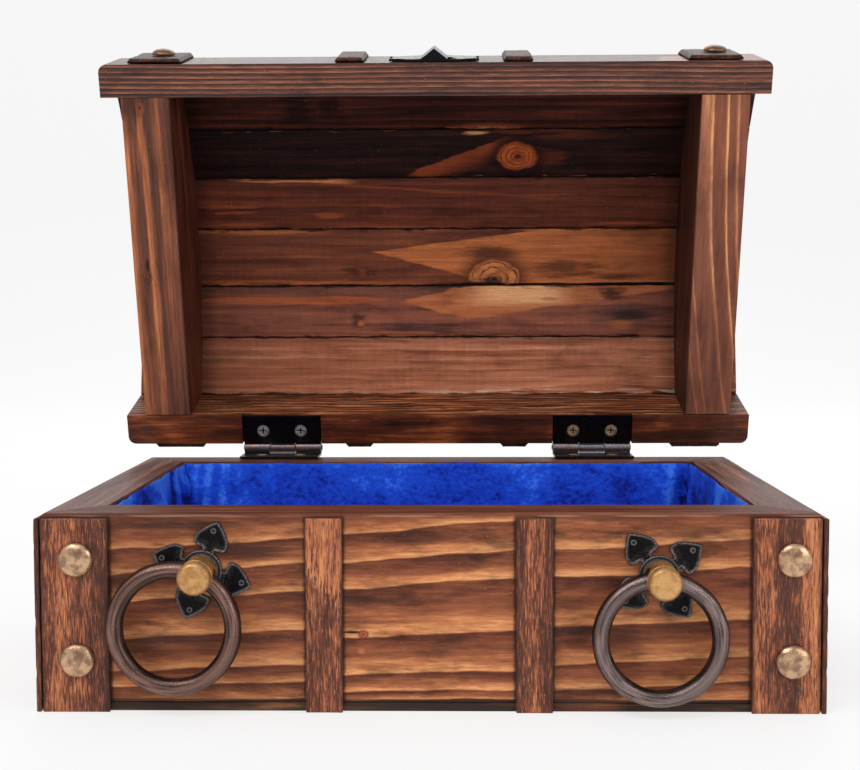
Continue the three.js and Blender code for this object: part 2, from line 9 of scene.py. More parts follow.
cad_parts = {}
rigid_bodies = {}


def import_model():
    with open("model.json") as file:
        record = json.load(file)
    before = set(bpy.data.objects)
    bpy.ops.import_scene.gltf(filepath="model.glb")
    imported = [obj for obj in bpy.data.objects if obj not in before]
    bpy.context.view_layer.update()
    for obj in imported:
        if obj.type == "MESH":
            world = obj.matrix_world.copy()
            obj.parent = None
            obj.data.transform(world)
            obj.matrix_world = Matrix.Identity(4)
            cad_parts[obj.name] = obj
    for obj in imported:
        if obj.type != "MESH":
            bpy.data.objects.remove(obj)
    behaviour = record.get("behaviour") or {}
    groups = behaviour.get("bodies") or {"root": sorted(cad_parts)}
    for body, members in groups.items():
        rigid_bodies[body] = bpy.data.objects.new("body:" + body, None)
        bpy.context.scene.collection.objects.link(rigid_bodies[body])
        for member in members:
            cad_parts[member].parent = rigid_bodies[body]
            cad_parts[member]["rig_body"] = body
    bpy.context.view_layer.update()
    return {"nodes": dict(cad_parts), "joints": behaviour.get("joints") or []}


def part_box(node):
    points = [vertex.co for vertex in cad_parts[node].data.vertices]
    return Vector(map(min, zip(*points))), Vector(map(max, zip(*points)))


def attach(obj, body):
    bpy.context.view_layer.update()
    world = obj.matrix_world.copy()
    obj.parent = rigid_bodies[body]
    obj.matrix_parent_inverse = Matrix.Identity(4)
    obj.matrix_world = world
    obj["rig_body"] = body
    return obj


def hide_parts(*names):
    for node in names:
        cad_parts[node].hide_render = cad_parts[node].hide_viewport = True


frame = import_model()

# ---------- driving dimensions, in millimetres ----------

MM = 0.001
BODY_DEPTH = 184
BODY_HEIGHT = 73
STRAP_THICKNESS = 2.2
BOARD_Y = BODY_DEPTH / 2 - STRAP_THICKNESS

LID_OPEN = math.radians(75)
PIN = Vector(next(j for j in frame["joints"] if j["name"] == "lid_hinge")["pos_m"]) / MM
LID_RIM_Z = 73.5
RAIL_INNER_Y = 77.2
RAIL_HEIGHT = 32
DOME_RISE = 20
DOME_RADIUS = (RAIL_INNER_Y ** 2 + DOME_RISE ** 2) / (2 * DOME_RISE)
DOME_HALF_ANGLE = math.asin(RAIL_INNER_Y / DOME_RADIUS)
DOME_CENTRE_Z = LID_RIM_Z + RAIL_HEIGHT + DOME_RISE - DOME_RADIUS
STAVE_THICKNESS = 8
STAVE_WIDTHS = [23.2, 25.8, 26.9, 29.2, 26.3, 29.6]
LID_STRAP_THICKNESS = 2.4

HANDLE_PLACES = {"left": (-82.8, 52.3), "right": (83.2, 50.5)}
PLATE_TURNS = {"left": 19, "right": 54}
HANDLE_TURNS = {"left": 24.5, "right": 1}
PLATE_TIP_RADIUS = 19
HANDLE_BACK = -BOARD_Y - 0.2
POST_RADIUS = 6.15
POST_HOLE_OUT = 8.6
RING_RADIUS = 21.4
RING_BAR_RADIUS = 3.25
RING_SLACK = 0.5
LID_NAIL_X = {"left": -125.5, "right": 129}

SIDES = {"left": -1, "right": 1}


# ---------- places ----------

def node_box(node):
    low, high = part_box(node)
    return low / MM, high / MM


def from_lid(point):
    """A point of the shut lid, swung open to where it rests."""
    return PIN + Matrix.Rotation(-LID_OPEN, 3, "X") @ (Vector(point) - PIN)


def to_lid(point):
    """A point of the open lid, as if the lid were shut."""
    return PIN + Matrix.Rotation(LID_OPEN, 3, "X") @ (Vector(point) - PIN)


def dome_point(angle, beyond=0.0):
    reach = DOME_RADIUS + beyond
    return Vector((reach * math.sin(angle), DOME_CENTRE_Z + reach * math.cos(angle)))


def stave_angles():
    angles = [-DOME_HALF_ANGLE]
    for width in STAVE_WIDTHS:
        angles.append(angles[-1] + 2 * DOME_HALF_ANGLE * width / sum(STAVE_WIDTHS))
    return angles


# ---------- colours ----------

def tone(red, green, blue, gain=1.0):
    """A display colour, 0 to 255, as the linear colour that a shader takes."""
    def linear(value):
        value /= 255
        return value / 12.92 if value <= 0.04045 else ((value + 0.055) / 1.055) ** 2.4
    return tuple(min(1.0, linear(part) * gain) for part in (red, green, blue)) + (1,)


def shader_colour(value):
    """Three display numbers, or one grey between 0 and 1, as a linear colour."""
    if isinstance(value, tuple):
        return tone(*value) if len(value) == 3 else value
    return value if isinstance(value, Value) else (value,) * 3 + (1,)


def tones(*colours, gain=1.0):
    """Several display colours, lightened or darkened together."""
    return [tone(*colour, gain) for colour in colours]


# ---------- node graphs ----------

class Value:
    """What a shader node gives out, with ordinary arithmetic on it."""

    def __init__(self, graph, socket):
        self.graph, self.socket = graph, socket

    def __add__(self, other):
        return self.graph.maths("ADD", self, other)

    def __sub__(self, other):
        return self.graph.maths("SUBTRACT", self, other)

    def __rsub__(self, other):
        return self.graph.maths("SUBTRACT", other, self)

    def __mul__(self, other):
        return self.graph.maths("MULTIPLY", self, other)

    def __truediv__(self, number):
        return self * (1 / number)

    def __abs__(self):
        return self.graph.maths("ABSOLUTE", self)


class Graph:
    """One material's nodes, with the colour as painted so far. Lengths are in millimetres."""

    def __init__(self, name):
        self.material = bpy.data.materials.new(name)
        self.material.use_nodes = True
        self.tree = self.material.node_tree
        self.tree.nodes.clear()
        self.colour = None

    def node(self, kind, inputs, **settings):
        """Adds a node, with values for its inputs in turn or by name."""
        made = self.tree.nodes.new(kind)
        for key, value in settings.items():
            setattr(made, key, value)
        for key, value in inputs.items() if isinstance(inputs, dict) else enumerate(inputs):
            if isinstance(value, Value):
                self.tree.links.new(value.socket, made.inputs[key])
            else:
                made.inputs[key].default_value = value
        return made

    def output(self, kind, inputs, at=0, **settings):
        return Value(self, self.node(kind, inputs, **settings).outputs[at])

    def maths(self, operation, *values):
        return self.output("ShaderNodeMath", values, operation=operation)

    def distance(self, a, b):
        return self.maths("SQRT", a * a + b * b)

    def spread(self, value, low, high, out_low=0.0, out_high=1.0, smooth=True):
        """Maps low..high to out_low..out_high, smoothly and held at both ends."""
        return self.output("ShaderNodeMapRange", (value, low, high, out_low, out_high), clamp=True,
                           interpolation_type="SMOOTHSTEP" if smooth else "LINEAR")

    def ramp(self, value, stops):
        made = self.node("ShaderNodeValToRGB", (value,))
        elements = made.color_ramp.elements
        for end, (position, _) in ((elements[1], stops[-1]), (elements[0], stops[0])):
            end.position = position
        for position, _ in stops[1:-1]:
            elements.new(position)
        for element, (_, colour) in zip(elements, stops):
            element.color = shader_colour(colour)
        return Value(self, made.outputs[0])

    def mix(self, factor, a, b, blend="MIX"):
        inputs = {0: factor, 6: shader_colour(a), 7: shader_colour(b)}
        return self.output("ShaderNodeMix", inputs, 2, data_type="RGBA", blend_type=blend)

    def palette(self, value, tones):
        """Darkest to palest over 0 to 1, by five tones."""
        return self.ramp(value, list(zip((0.03, 0.27, 0.5, 0.73, 0.97), tones)))

    def paint(self, factor, colour, blend="MIX"):
        """Lays a colour over what is there, as thickly as factor says."""
        self.colour = self.mix(factor, self.colour, colour, blend)

    def dim(self, amount):
        inputs = {0: self.colour, "Scale": amount}
        self.colour = self.output("ShaderNodeVectorMath", inputs, operation="SCALE")

    def noise(self, vector, scale=1.0, detail=2.0, roughness=0.5, distortion=0.0):
        return self.output("ShaderNodeTexNoise", {
            "Vector": vector, "Scale": scale, "Detail": detail, "Roughness": roughness,
            "Distortion": distortion})

    def place(self, lid=False):
        """Where a point is on the piece, in millimetres; a lid point as if the lid were shut."""
        inputs = {"Vector": self.output("ShaderNodeTexCoord", (), "Object"),
                  "Scale": (1 / MM,) * 3}
        if lid:
            inputs["Rotation"] = (LID_OPEN, 0, 0)
            inputs["Location"] = to_lid((0, 0, 0))
        return self.output("ShaderNodeMapping", inputs)

    def split(self, vector):
        parts = self.node("ShaderNodeSeparateXYZ", (vector,))
        return [Value(self, part) for part in parts.outputs]

    def vector(self, x, y, z):
        return self.output("ShaderNodeCombineXYZ", (x, y, z))

    def attribute(self, name):
        return self.output("ShaderNodeAttribute", (), "Fac", attribute_name=name)

    def bump(self, height, depth, strength=1.0):
        """Relief of the given depth in millimetres."""
        return self.output("ShaderNodeBump", {
            "Height": height, "Distance": depth * MM, "Strength": strength})

    def finish(self, roughness, normal, **constants):
        inputs = {"Base Color": self.colour, "Roughness": roughness, "Normal": normal}
        for key, value in constants.items():
            inputs[key.replace("_", " ").title().replace("Ior", "IOR")] = value
        shader = self.output("ShaderNodeBsdfPrincipled", inputs)
        self.node("ShaderNodeOutputMaterial", (shader,))
        return self.material


# ---------- wood ----------

class Wood(Graph):
    """Stained and scorched pine. u runs along the grain, v across the face, w into the board."""

    def __init__(self, name, axes, seed, lid=False):
        super().__init__(name)
        parts = dict(zip("xyz", self.split(self.place(lid))))
        self.u, self.v, self.w = (parts[axis] for axis in axes)
        self.seed = seed

    def grain(self, along, across, detail, roughness=0.5, shift=0.0):
        """Noise that is long in the grain: sizes in millimetres along and across it."""
        along_grain = (self.u + (self.seed * 137.0 + shift)) / along
        vector = self.vector(along_grain, self.v / across, self.w / across)
        return self.noise(vector, 1.0, detail, roughness)

    def ragged(self, along, across, size, detail=3, roughness=0.5, shift=7):
        """Grain noise about zero, to make an edge ragged by about size millimetres."""
        return (self.grain(along, across, detail, roughness, shift) - 0.5) * size

    def warped(self, slope, slow=6.0, fast=0.8):
        """v, bent as the growth rings wander along the board."""
        bent = self.v + self.ragged(90, 60, slow, 1, shift=0) + self.ragged(16, 7, fast, 2, shift=50)
        return bent - self.u * slope

    def rings(self, pitch, slope, slow, fast, depth_share):
        """0 to 1 over each growth ring, with a sharp end."""
        v = self.warped(slope, slow, fast) + self.w * depth_share
        return self.maths("FRACT", v / pitch + self.seed * 0.37)

    def spot(self, u, v, half_u, half_v, soft=0.25, wobble=0.25):
        """How far inside an oval mark with a ragged edge a point is, 0 to 1."""
        reach = self.distance((self.u - u) / half_u, (self.v - v) / half_v)
        reach += self.ragged(8 + half_u * 0.6, 1.2 + half_v * 0.25, 3.4 * wobble, 4, 0.7, u)
        return self.spread(reach, 1 + soft * 0.8, 1 - soft)

    def marks(self, soft, wobble, rows):
        """Paints oval marks, each (u, v, half_u, half_v, strength, colour)."""
        for *oval, strength, colour in rows:
            self.paint(self.spot(*oval, soft, wobble) * strength, colour)

    def stretch(self, start, full, fading, end):
        """1 along part of the grain, fading out at both ends."""
        return self.spread(self.u, start, full) * self.spread(self.u, end, fading)

    def between(self, value, low, high, soft=0.4):
        """1 where a value lies between two others, with soft ends."""
        return self.spread(value - low, -soft, soft) * self.spread(high - value, -soft, soft)

    def line(self, u, v, slope):
        """The height of a straight line across the board at each point along it."""
        return (self.u - u) * slope + v

    def knot(self, u, v, half_u, half_v, bright, dark, halo, turns):
        """Fine uneven rings from a dark heart out to a bright edge, in a smoky halo."""
        place = self.vector(self.u / half_u, self.v / half_v, 0.0)
        shake = self.noise(place, 0.85, 3.0, 0.55) - 0.5
        reach = self.distance((self.u - u) / half_u, (self.v - v) / half_v) + shake * 0.65
        wave = self.maths("SINE", reach * (2 * math.pi * turns))
        patch = self.noise(place, 1.5, 3.0, 0.6)
        strength = self.spread(patch, 0.34, 0.6, 0.2, 0.9)
        glow = self.spread(reach, 0.0, 0.3) * self.spread(patch, 0.3, 0.6, 0.45, 1.0)
        inner = self.mix(glow, dark, bright)
        inner = self.mix(self.spread(wave, 0.3, 1.0) * strength, inner, dark)
        inner = self.mix(self.spread(reach, 0.8, 1.0) * 0.85, inner, dark)
        self.paint(self.spread(reach, 1.8, 0.9) * 0.8, halo)
        self.paint(self.spread(reach, 1.08, 0.96), inner)

    def away_from_axis(self):
        """How far a point is from the long axis that the lid curves about."""
        return self.distance(self.v, self.w - DOME_CENTRE_Z)

    def flecks(self, along, across, shift, contrast):
        """Soft streaks in the grain, about zero."""
        return self.ragged(along, across, contrast, 4, 0.58, shift)

    def streaks(self, along, across, shift, contrast):
        """Soft streaks in the grain, spread evenly over 0 to 1."""
        return self.flecks(along, across, shift, contrast) + 0.5

    def shade(self, fibre, blotch, speck=0.5):
        """Short fibres, smoky blotches and dust over the colour. Gives the relief."""
        fine = self.grain(3.4, 0.32, 2, 0.6, shift=11)
        long = self.grain(30, 0.8, 3, 0.55, shift=23)
        level = (fine - 0.5) * (1.5 * fibre) - (long - 0.5) * (1.3 * fibre) + 1.0
        smoke = self.spread(self.grain(26, 10, 4, 0.62, shift=71), 0.47, 0.72, 0, blotch)
        self.dim(level * (1.0 - smoke))
        dust = self.noise(self.vector(self.u, self.v, self.w), 1.4, 1.0, 0.4)
        self.paint(self.spread(dust, 0.775, 0.8, 0, speck), (205, 180, 160))
        return long * 0.8 + fine

    def varnish(self, relief, gloss=0.44, depth=0.12, coat=0.0, sheen=0.2):
        """A worn amber satin finish: rougher where the grain is open."""
        self.paint(1.0, AMBER, "MULTIPLY")
        roughness = self.spread(relief, 0.6, 1.15, gloss + 0.18, gloss - 0.04, smooth=False)
        return self.finish(roughness, self.bump(relief, depth, 0.9), coat_weight=coat,
                           coat_roughness=0.3, specular_ior_level=sheen)


PINE_TONES = tones((90, 48, 36), (124, 71, 50), (150, 91, 63), (189, 124, 84), (222, 160, 112))
AMBER = (1.0, 0.90, 0.78, 1)
CHAR = (34, 25, 24)
WORN = (196, 160, 140)


def sawtooth(graph, height, edges, top):
    """Growth bands on a board: pale just above each edge height, darkening up to the next."""
    stops = []
    for low, high in zip(edges, edges[1:] + [top]):
        gap = high - low
        stops += [(low - 0.3, 0.1), (low + 0.35, 0.98), (low + 0.22 * gap, 0.7),
                  (low + 0.55 * gap, 0.4)]
    stops = [(max(0.0, at / top), value) for at, value in stops]
    return graph.ramp(height / top, stops)


def rim_tint(g, stain):
    """The rim's top face is darker and plainer than the walls."""
    top = g.spread(g.v, BODY_HEIGHT - 1.2, BODY_HEIGHT - 0.3, 0, 0.85)
    g.paint(top, g.palette(g.streaks(90, 3.4, 301, 2.4) + g.flecks(24, 0.9, 331, 1.2), stain))


RIM_TONES = tones((66, 32, 24), (86, 43, 31), (98, 51, 38), (112, 62, 45), (144, 92, 74))
RIM_BACK_TONES = tones((54, 29, 23), (74, 41, 32), (95, 55, 45), (118, 73, 61), (170, 124, 108))


def front_pine():
    """The front board: broad bands that fan out, uneven in each panel between the straps."""
    g = Wood("front_pine", "xzy", 3)
    panels = [(-85, 0.0009, 0.01, [0, 4.5, 10.5, 16.5, 29.0, 42.5, 52.5, 61.5]),
              (0, 0.0012, 0.0, [0, 4.5, 7.8, 14.4, 28.2, 46.2, 56.6, 67.5]),
              (80, 0.0, 0.05, [0, 3.0, 9.5, 19.0, 32.5, 51.0, 61.0])]
    wandering = g.warped(0, 5, 1.8)
    heights = []
    for centre, fan, slope, edges in panels:
        along = g.u - centre
        height = wandering * (1.0 - along * fan) - along * slope
        heights.append(sawtooth(g, height, edges, 73.5))
    left, middle, right = heights
    band = g.mix(g.spread(g.u, -39, -37), left, middle)
    band = g.mix(g.spread(g.u, 37, 39), band, right)
    band += g.flecks(30, 4.0, 7, 1.15) + g.flecks(9, 1.1, 19, 0.5)
    g.colour = g.palette(band, PINE_TONES)
    g.dim(g.spread(g.u, -36, -48, 1.0, 0.84) * g.spread(g.u, 40, 46, 1.0, 0.92))
    smoke = (64, 38, 32)
    g.marks(0.9, 0.9, [
        (-95, 69.4, 27, 2.1, 0.9, smoke), (-64, 59.0, 17, 2.4, 0.8775, smoke),
        (-98, 27.0, 22, 2.0, 0.81, smoke), (-112, 48.5, 12, 2.0, 0.675, smoke),
        (-22, 41.5, 15, 2.2, 0.81, smoke), (2, 64.0, 12, 1.6, 0.4725, smoke),
        (71, 28.0, 8, 3.0, 0.675, smoke), (54, 30.0, 10, 1.4, 0.675, smoke),
        (98, 66.0, 16, 2.4, 0.4725, smoke), (60, 8.0, 12, 1.4, 0.54, smoke)])
    relief = g.shade(0.6, 0.6)
    # Painted shadow: a dark ragged line along both sides of each front strap, where the strap shades
    # the board.
    for kind in ("corner", "mid"):
        for side in SIDES:
            low, high = node_box(f"front_{kind}_strap_{side}")
            off = abs(g.u - (low.x + high.x) / 2) - (high.x - low.x) / 2
            ragged = off + g.ragged(3, 3, 1.6, 2, shift=91)
            g.paint(g.spread(ragged, 1.3, 0.2, 0, 0.8), (50, 28, 24))
    g.paint(g.spot(-28.0, 29.4, 3.6, 0.5, 0.5), CHAR)
    g.knot(-24.0, 28.6, 1.5, 1.3, (176, 98, 60), (84, 46, 32), (110, 62, 44), 1.2)
    g.paint(g.spot(-24.8, 22.4, 1.1, 0.9, 0.6, 0.5) * 0.7, (196, 118, 72))
    g.paint(g.spread(g.v, 5.2, 4.2, 0, 0.85), CHAR)
    g.paint(g.spread(g.v, 69.5, 71.8, 0, 0.4), (80, 44, 36))
    g.paint(g.spread(g.v, 71.6, 72.1) * g.spread(g.grain(30, 3, 3), 0.45, 0.62, 0.0, 0.5), WORN)
    rim_tint(g, RIM_TONES)
    return g.varnish(relief)


def board_pine(name, axes, seed, pitch=11.0):
    """A board of the body seen at the side or the back. Gives it and its relief."""
    g = Wood(name, axes, seed)
    uneven = g.ragged(190, 17, 26.0, 2, shift=31) + g.warped(0.03)
    rings = g.maths("FRACT", uneven / pitch + seed * 0.37)
    strength = g.spread(g.grain(120, 14, 2, shift=61), 0.3, 0.62, 0.25, 0.95)
    band = (0.5 - rings) * strength + 0.45 + g.flecks(40, 5.0, 7, 1.7)
    g.colour = g.palette(band, PINE_TONES)
    g.dim(0.85)
    return g, g.shade(0.5, 0.5)


def wall_pine(name, axes, seed, pitch=11.0):
    g, relief = board_pine(name, axes, seed, pitch)
    g.paint(g.spread(g.v, 5.2, 4.2, 0, 0.85), CHAR)
    rim_tint(g, RIM_BACK_TONES)
    return g.varnish(relief, 0.42, coat=0.12)


def bottom_pine():
    g, relief = board_pine("bottom_pine", "xyz", 12)
    g.paint(g.spread(g.grain(40, 6, 3), 0.5, 0.66, 0.95, 0.6), (44, 36, 34))
    return g.varnish(relief, 0.55)


def front_rail_pine():
    """Sawn across the rings: many fine broken lines."""
    g = Wood("front_rail_pine", "xyz", 14, lid=True)
    saw = g.rings(2.3, 0.004, 2.4, 0.3, 0.0)
    line = g.spread(saw, 0.2, 0.95, -0.26, 0.34, smooth=False)
    value = g.streaks(150, 1.8, 31, 1.4) + line + g.flecks(9, 0.5, 57, 1.1)
    g.colour = g.palette(value, tones((50, 32, 30), (74, 47, 42), (97, 61, 53), (130, 80, 64),
                                      (178, 114, 90), gain=0.84))
    relief = g.shade(0.5, 0.4, 0.9)
    return g.varnish(relief, 0.42, coat=0.2)


def back_rail_pine():
    """Dark and plain at the rim, with wavy tan lines on the strip inside the lid."""
    g = Wood("back_rail_pine", "xyz", 15, lid=True)
    value = g.streaks(70, 4.6, 31, 1.7) + g.flecks(40, 26, 63, 2.2) + g.flecks(18, 1.0, 43, 0.9)
    rim = g.palette(value, tones((44, 21, 12), (62, 30, 18), (82, 39, 22), (108, 55, 31),
                                 (158, 88, 48), gain=1.1))
    saw = g.maths("FRACT", (g.streaks(46, 9, 3, 1.6) * 7.0 + g.w) / 3.6)
    value = g.spread(saw, 0.1, 0.95, -0.25, 0.35, smooth=False) + g.streaks(30, 3, 12, 1.6)
    strip = g.palette(value, tones((44, 24, 16), (70, 39, 25), (100, 59, 40), (148, 92, 64),
                                   (200, 136, 98)))
    inside = g.spread(g.v, 78.2, 77.4) * g.spread(g.w, 74.2, 75.5)
    g.colour = g.mix(inside, rim, strip)
    relief = g.shade(0.4, 0.4)
    return g.varnish(relief, 0.46)


def end_inside(g, side, stains):
    """The face towards the inside of the lid is plain and dark."""
    plain = g.palette(g.ragged(60, 5, 2.4, shift=8) + 0.5, stains)
    g.paint(g.spread(g.v * side, 121.9, 121.4, 0, 0.92), plain)


def left_end_pine():
    g = Wood("left_end_pine", "yxz", 5, lid=True)
    leaning = g.warped(0, 5.0, 1.2) - g.u * 0.012
    across = g.spread(leaning, -143.5, -120.5, smooth=False)
    band = g.ramp(across, [(0.0, 0.84), (0.08, 0.74), (0.13, 0.4), (0.3, 0.34), (0.34, 0.66),
                           (0.46, 0.58), (0.49, 0.3), (0.62, 0.36), (0.65, 0.6), (0.77, 0.52),
                           (0.81, 0.34), (0.9, 0.32), (0.95, 0.2), (1.0, 0.14)])
    value = band + g.flecks(110, 3.6, 9, 1.3) + g.flecks(30, 1.6, 29, 0.7)
    g.colour = g.palette(value, tones((70, 44, 38), (94, 58, 47), (120, 73, 57), (160, 98, 68),
                                      (216, 142, 94)))
    g.paint(g.spot(-74, -138, 8, 6.0, 0.8, 0.6) * 0.75, (52, 32, 28))
    g.paint(g.spot(-71.9, -134.6, 2.6, 1.6, 0.7, 0.6), (140, 74, 50))
    g.paint(g.spot(-72.6, -134.9, 1.0, 0.6, 0.7, 0.6), (58, 34, 28))
    g.paint(g.spot(1.4, -136.7, 3.2, 0.8, 0.4), CHAR)
    g.knot(6.9, -137.1, 2.0, 1.7, (66, 36, 28), (150, 88, 60), (84, 48, 36), 1.2)
    end_inside(g, -1, tones((56, 27, 17), (72, 34, 21), (84, 42, 27), (98, 51, 34), (120, 68, 50)))
    relief = g.shade(0.45, 0.35)
    return g.varnish(relief, 0.46)


def right_end_pine():
    """Its few growth lines lean outwards towards the hinges, a steep flame at the foot."""
    g = Wood("right_end_pine", "yxz", 9, lid=True)
    reach = (g.u + 77.0) / 154
    lean = g.maths("POWER", reach, 3.0) * 9.6 + reach * 5.7
    wavy = g.warped(0, 3.0, 0.9) - lean
    value = g.flecks(40, 4.5, 9, 1.2) * 0.7 + 0.4
    value += g.spread(g.u, -8, -70) * g.spread(wavy, 127.5, 124.5) * 0.34
    at_rim = g.spread(g.w, LID_RIM_Z + 4, LID_RIM_Z + 1.5)
    for centre, pale, dark, strength in ((126.9, 1.9, 0.6, 0.42), (133.8, 1.5, 0.6, 0.5),
                                         (138.6, 1.6, 0.8, 0.42), (117.2, 1.0, 0.6, 0.34),
                                         (112.8, 1.0, 0.6, 0.34)):
        away = wavy - centre
        edge = g.spread(away, -pale, -pale * 0.1) * g.spread(away, dark, 0.0)
        value += edge * at_rim * g.spread(g.u, -10, 77, 1.0, 0.6) * strength
    g.colour = g.palette(value, tones((76, 46, 38), (100, 60, 49), (129, 80, 62), (158, 104, 80),
                                      (214, 156, 110), gain=1.22))
    g.dim(g.spread(g.u, 0, 77, 1.0, 0.8))
    end_inside(g, 1, tones((38, 17, 8), (46, 22, 12), (56, 28, 17), (70, 37, 26), (104, 62, 48)))
    relief = g.shade(0.45, 0.3)
    return g.varnish(relief, 0.46)


STAVE_PITCHES = [4.2, 5.0, 6.0, 7.5, 8.5, 3.6]
STAVE_TONES = [
    tones((24, 12, 6), (37, 18, 12), (50, 24, 16), (62, 29, 19), (84, 42, 28), gain=1.5),
    tones((12, 6, 3), (22, 11, 8), (31, 16, 12), (38, 20, 15), (52, 26, 19), gain=1.32),
    tones((56, 28, 20), (76, 39, 28), (86, 44, 31), (98, 50, 34), (118, 62, 42), gain=1.36),
    tones((76, 37, 25), (90, 48, 34), (98, 54, 39), (108, 60, 42), (130, 74, 50), gain=1.36),
    tones((84, 47, 36), (106, 62, 51), (119, 71, 59), (130, 78, 62), (150, 92, 70), gain=1.3),
    tones((112, 62, 44), (138, 84, 62), (152, 96, 74), (166, 110, 86), (186, 132, 106), gain=1.32)]
OUTSIDE_TONES = tones((64, 34, 25), (92, 50, 36), (116, 66, 46), (142, 86, 58), (184, 120, 80))


def stave_pine(index):
    """Each stave of the lid was sawn from a different board."""
    g = Wood(f"stave_pine_{index + 1}", "xyz", 21 + index, lid=True)
    saw = g.rings(STAVE_PITCHES[index], 0.004, 6.0, 1.2, 0.4)
    sawn = g.noise(g.vector(g.u * 0.55, g.v * 0.06, 0.0))
    value = (saw - 0.5) * 0.36 + (sawn - 0.5) * 0.3 + g.streaks(70, 3.6, 31, 2.1)
    g.colour = g.palette(value, STAVE_TONES[index])
    STAVE_MARKS[index](g)
    relief = g.shade(0.45, 0.35)
    stave_edges(g, *(dome_point(angle).x for angle in stave_angles()[index:index + 2]))
    outside = g.spread(g.away_from_axis(), DOME_RADIUS + 5.6, DOME_RADIUS + 6.6, 0, 0.85)
    weathered = g.streaks(60, 3.4, 83, 1.9) + g.spread(saw, 0, 1, -0.15, 0.2)
    g.paint(outside, g.palette(weathered, OUTSIDE_TONES))
    return g.varnish(relief, 0.46, sheen=0.12)


def stave_edges(g, low, high):
    """Soot and glue along the joints, with pale chips, and soot with painted shade in the lid's
    corners.
    """
    near = g.maths("MINIMUM", g.v - low, high - g.v)
    ragged = g.grain(13, 1.5, 3, 0.65, shift=53) - 0.5
    chips = g.spread(near, 1.5, 0.8) * g.spread(g.grain(8, 1.2, 3, shift=97), 0.62, 0.66)
    g.paint(chips * 0.5, (176, 108, 74))
    g.paint(g.spread(ragged * 5.0 + near, 1.0, 0.2) * 0.85, (26, 16, 13))
    # Soot and painted shade, darker towards the lid's end boards.
    g.paint(g.spread(ragged * 8.0 + abs(g.u), 111, 121) * 0.5, (34, 20, 16))


def stave_1_marks(g):
    g.paint(g.spot(24, -57.4, 16, 1.6, 0.5, 0.6) * 0.8, (150, 74, 42))
    g.paint(g.spot(26, -56.8, 11, 0.6, 0.4, 0.5), (214, 160, 112))
    smudge = g.maths("MAXIMUM", g.spot(-66, -66, 8, 7, 0.7, 0.8), g.spot(-52, -68, 6, 5, 0.7, 0.8))
    g.paint(smudge * 0.8, (20, 12, 9))


def stave_2_marks(g):
    """A diagonal flare of sapwood runs up to the knot, and brown wisps run on beyond it."""
    below = g.v + g.ragged(16, 1.6, 3.0, 2) - g.line(-14.2, -33.8, -0.39)
    flare = g.spread(below, 0, 0.9) * g.spread(below, 13, 2.0) * g.stretch(-16, -8, 26, 40)
    g.paint(flare * 0.85, (146, 72, 42))
    over = g.spread(g.v, -49.5, -52.5) * g.spread(g.grain(30, 2, 2, shift=9), 0.36, 0.56)
    g.paint(over * g.stretch(22, 34, 60, 104) * 0.7, (104, 50, 30))
    wisps = g.spread(g.u, 50, 90) * g.spread(g.grain(50, 2.4, 2, shift=9), 0.45, 0.6)
    g.paint(wisps * 0.45, (70, 33, 21))
    g.paint(g.spot(54, -41, 10, 4.4, 0.6, 0.7) * 0.6, (104, 48, 28))
    g.paint(g.spot(19, -54.4, 5.5, 1.1, 0.5, 0.6), (206, 146, 100))
    g.knot(40.2, -42.4, 9.8, 7.4, (190, 98, 52), (76, 34, 19), (34, 17, 12), 4.0)


def stave_3_marks(g):
    g.paint(g.spread(g.v, -26.5, -30.5) * 0.45, (70, 42, 36))
    height = g.v + g.ragged(22, 1.2, 3.0)
    wisp = g.between(height, -30.4, g.line(-100, -29.4, 0.02))
    g.paint(wisp * g.stretch(-104, -92, -56, -36) * 0.9, (214, 140, 96))
    trail = g.spread(abs(height - g.line(-60, -28.2, 0.062)), 1.1, 0.2)
    g.paint(trail * g.stretch(-76, -50, 0, 80) * 0.6, (150, 76, 46))
    tan = (166, 88, 54)
    g.marks(0.6, 0.9, [
        (-108, -16.5, 15, 1.1, 0.8, tan), (-102, -13.4, 11, 0.9, 0.7, tan),
        (-55, -11.4, 7, 1.3, 0.6, tan), (-100, -7.2, 16, 0.9, 0.7, tan),
        (96, -7.4, 14, 0.9, 0.6, tan)])


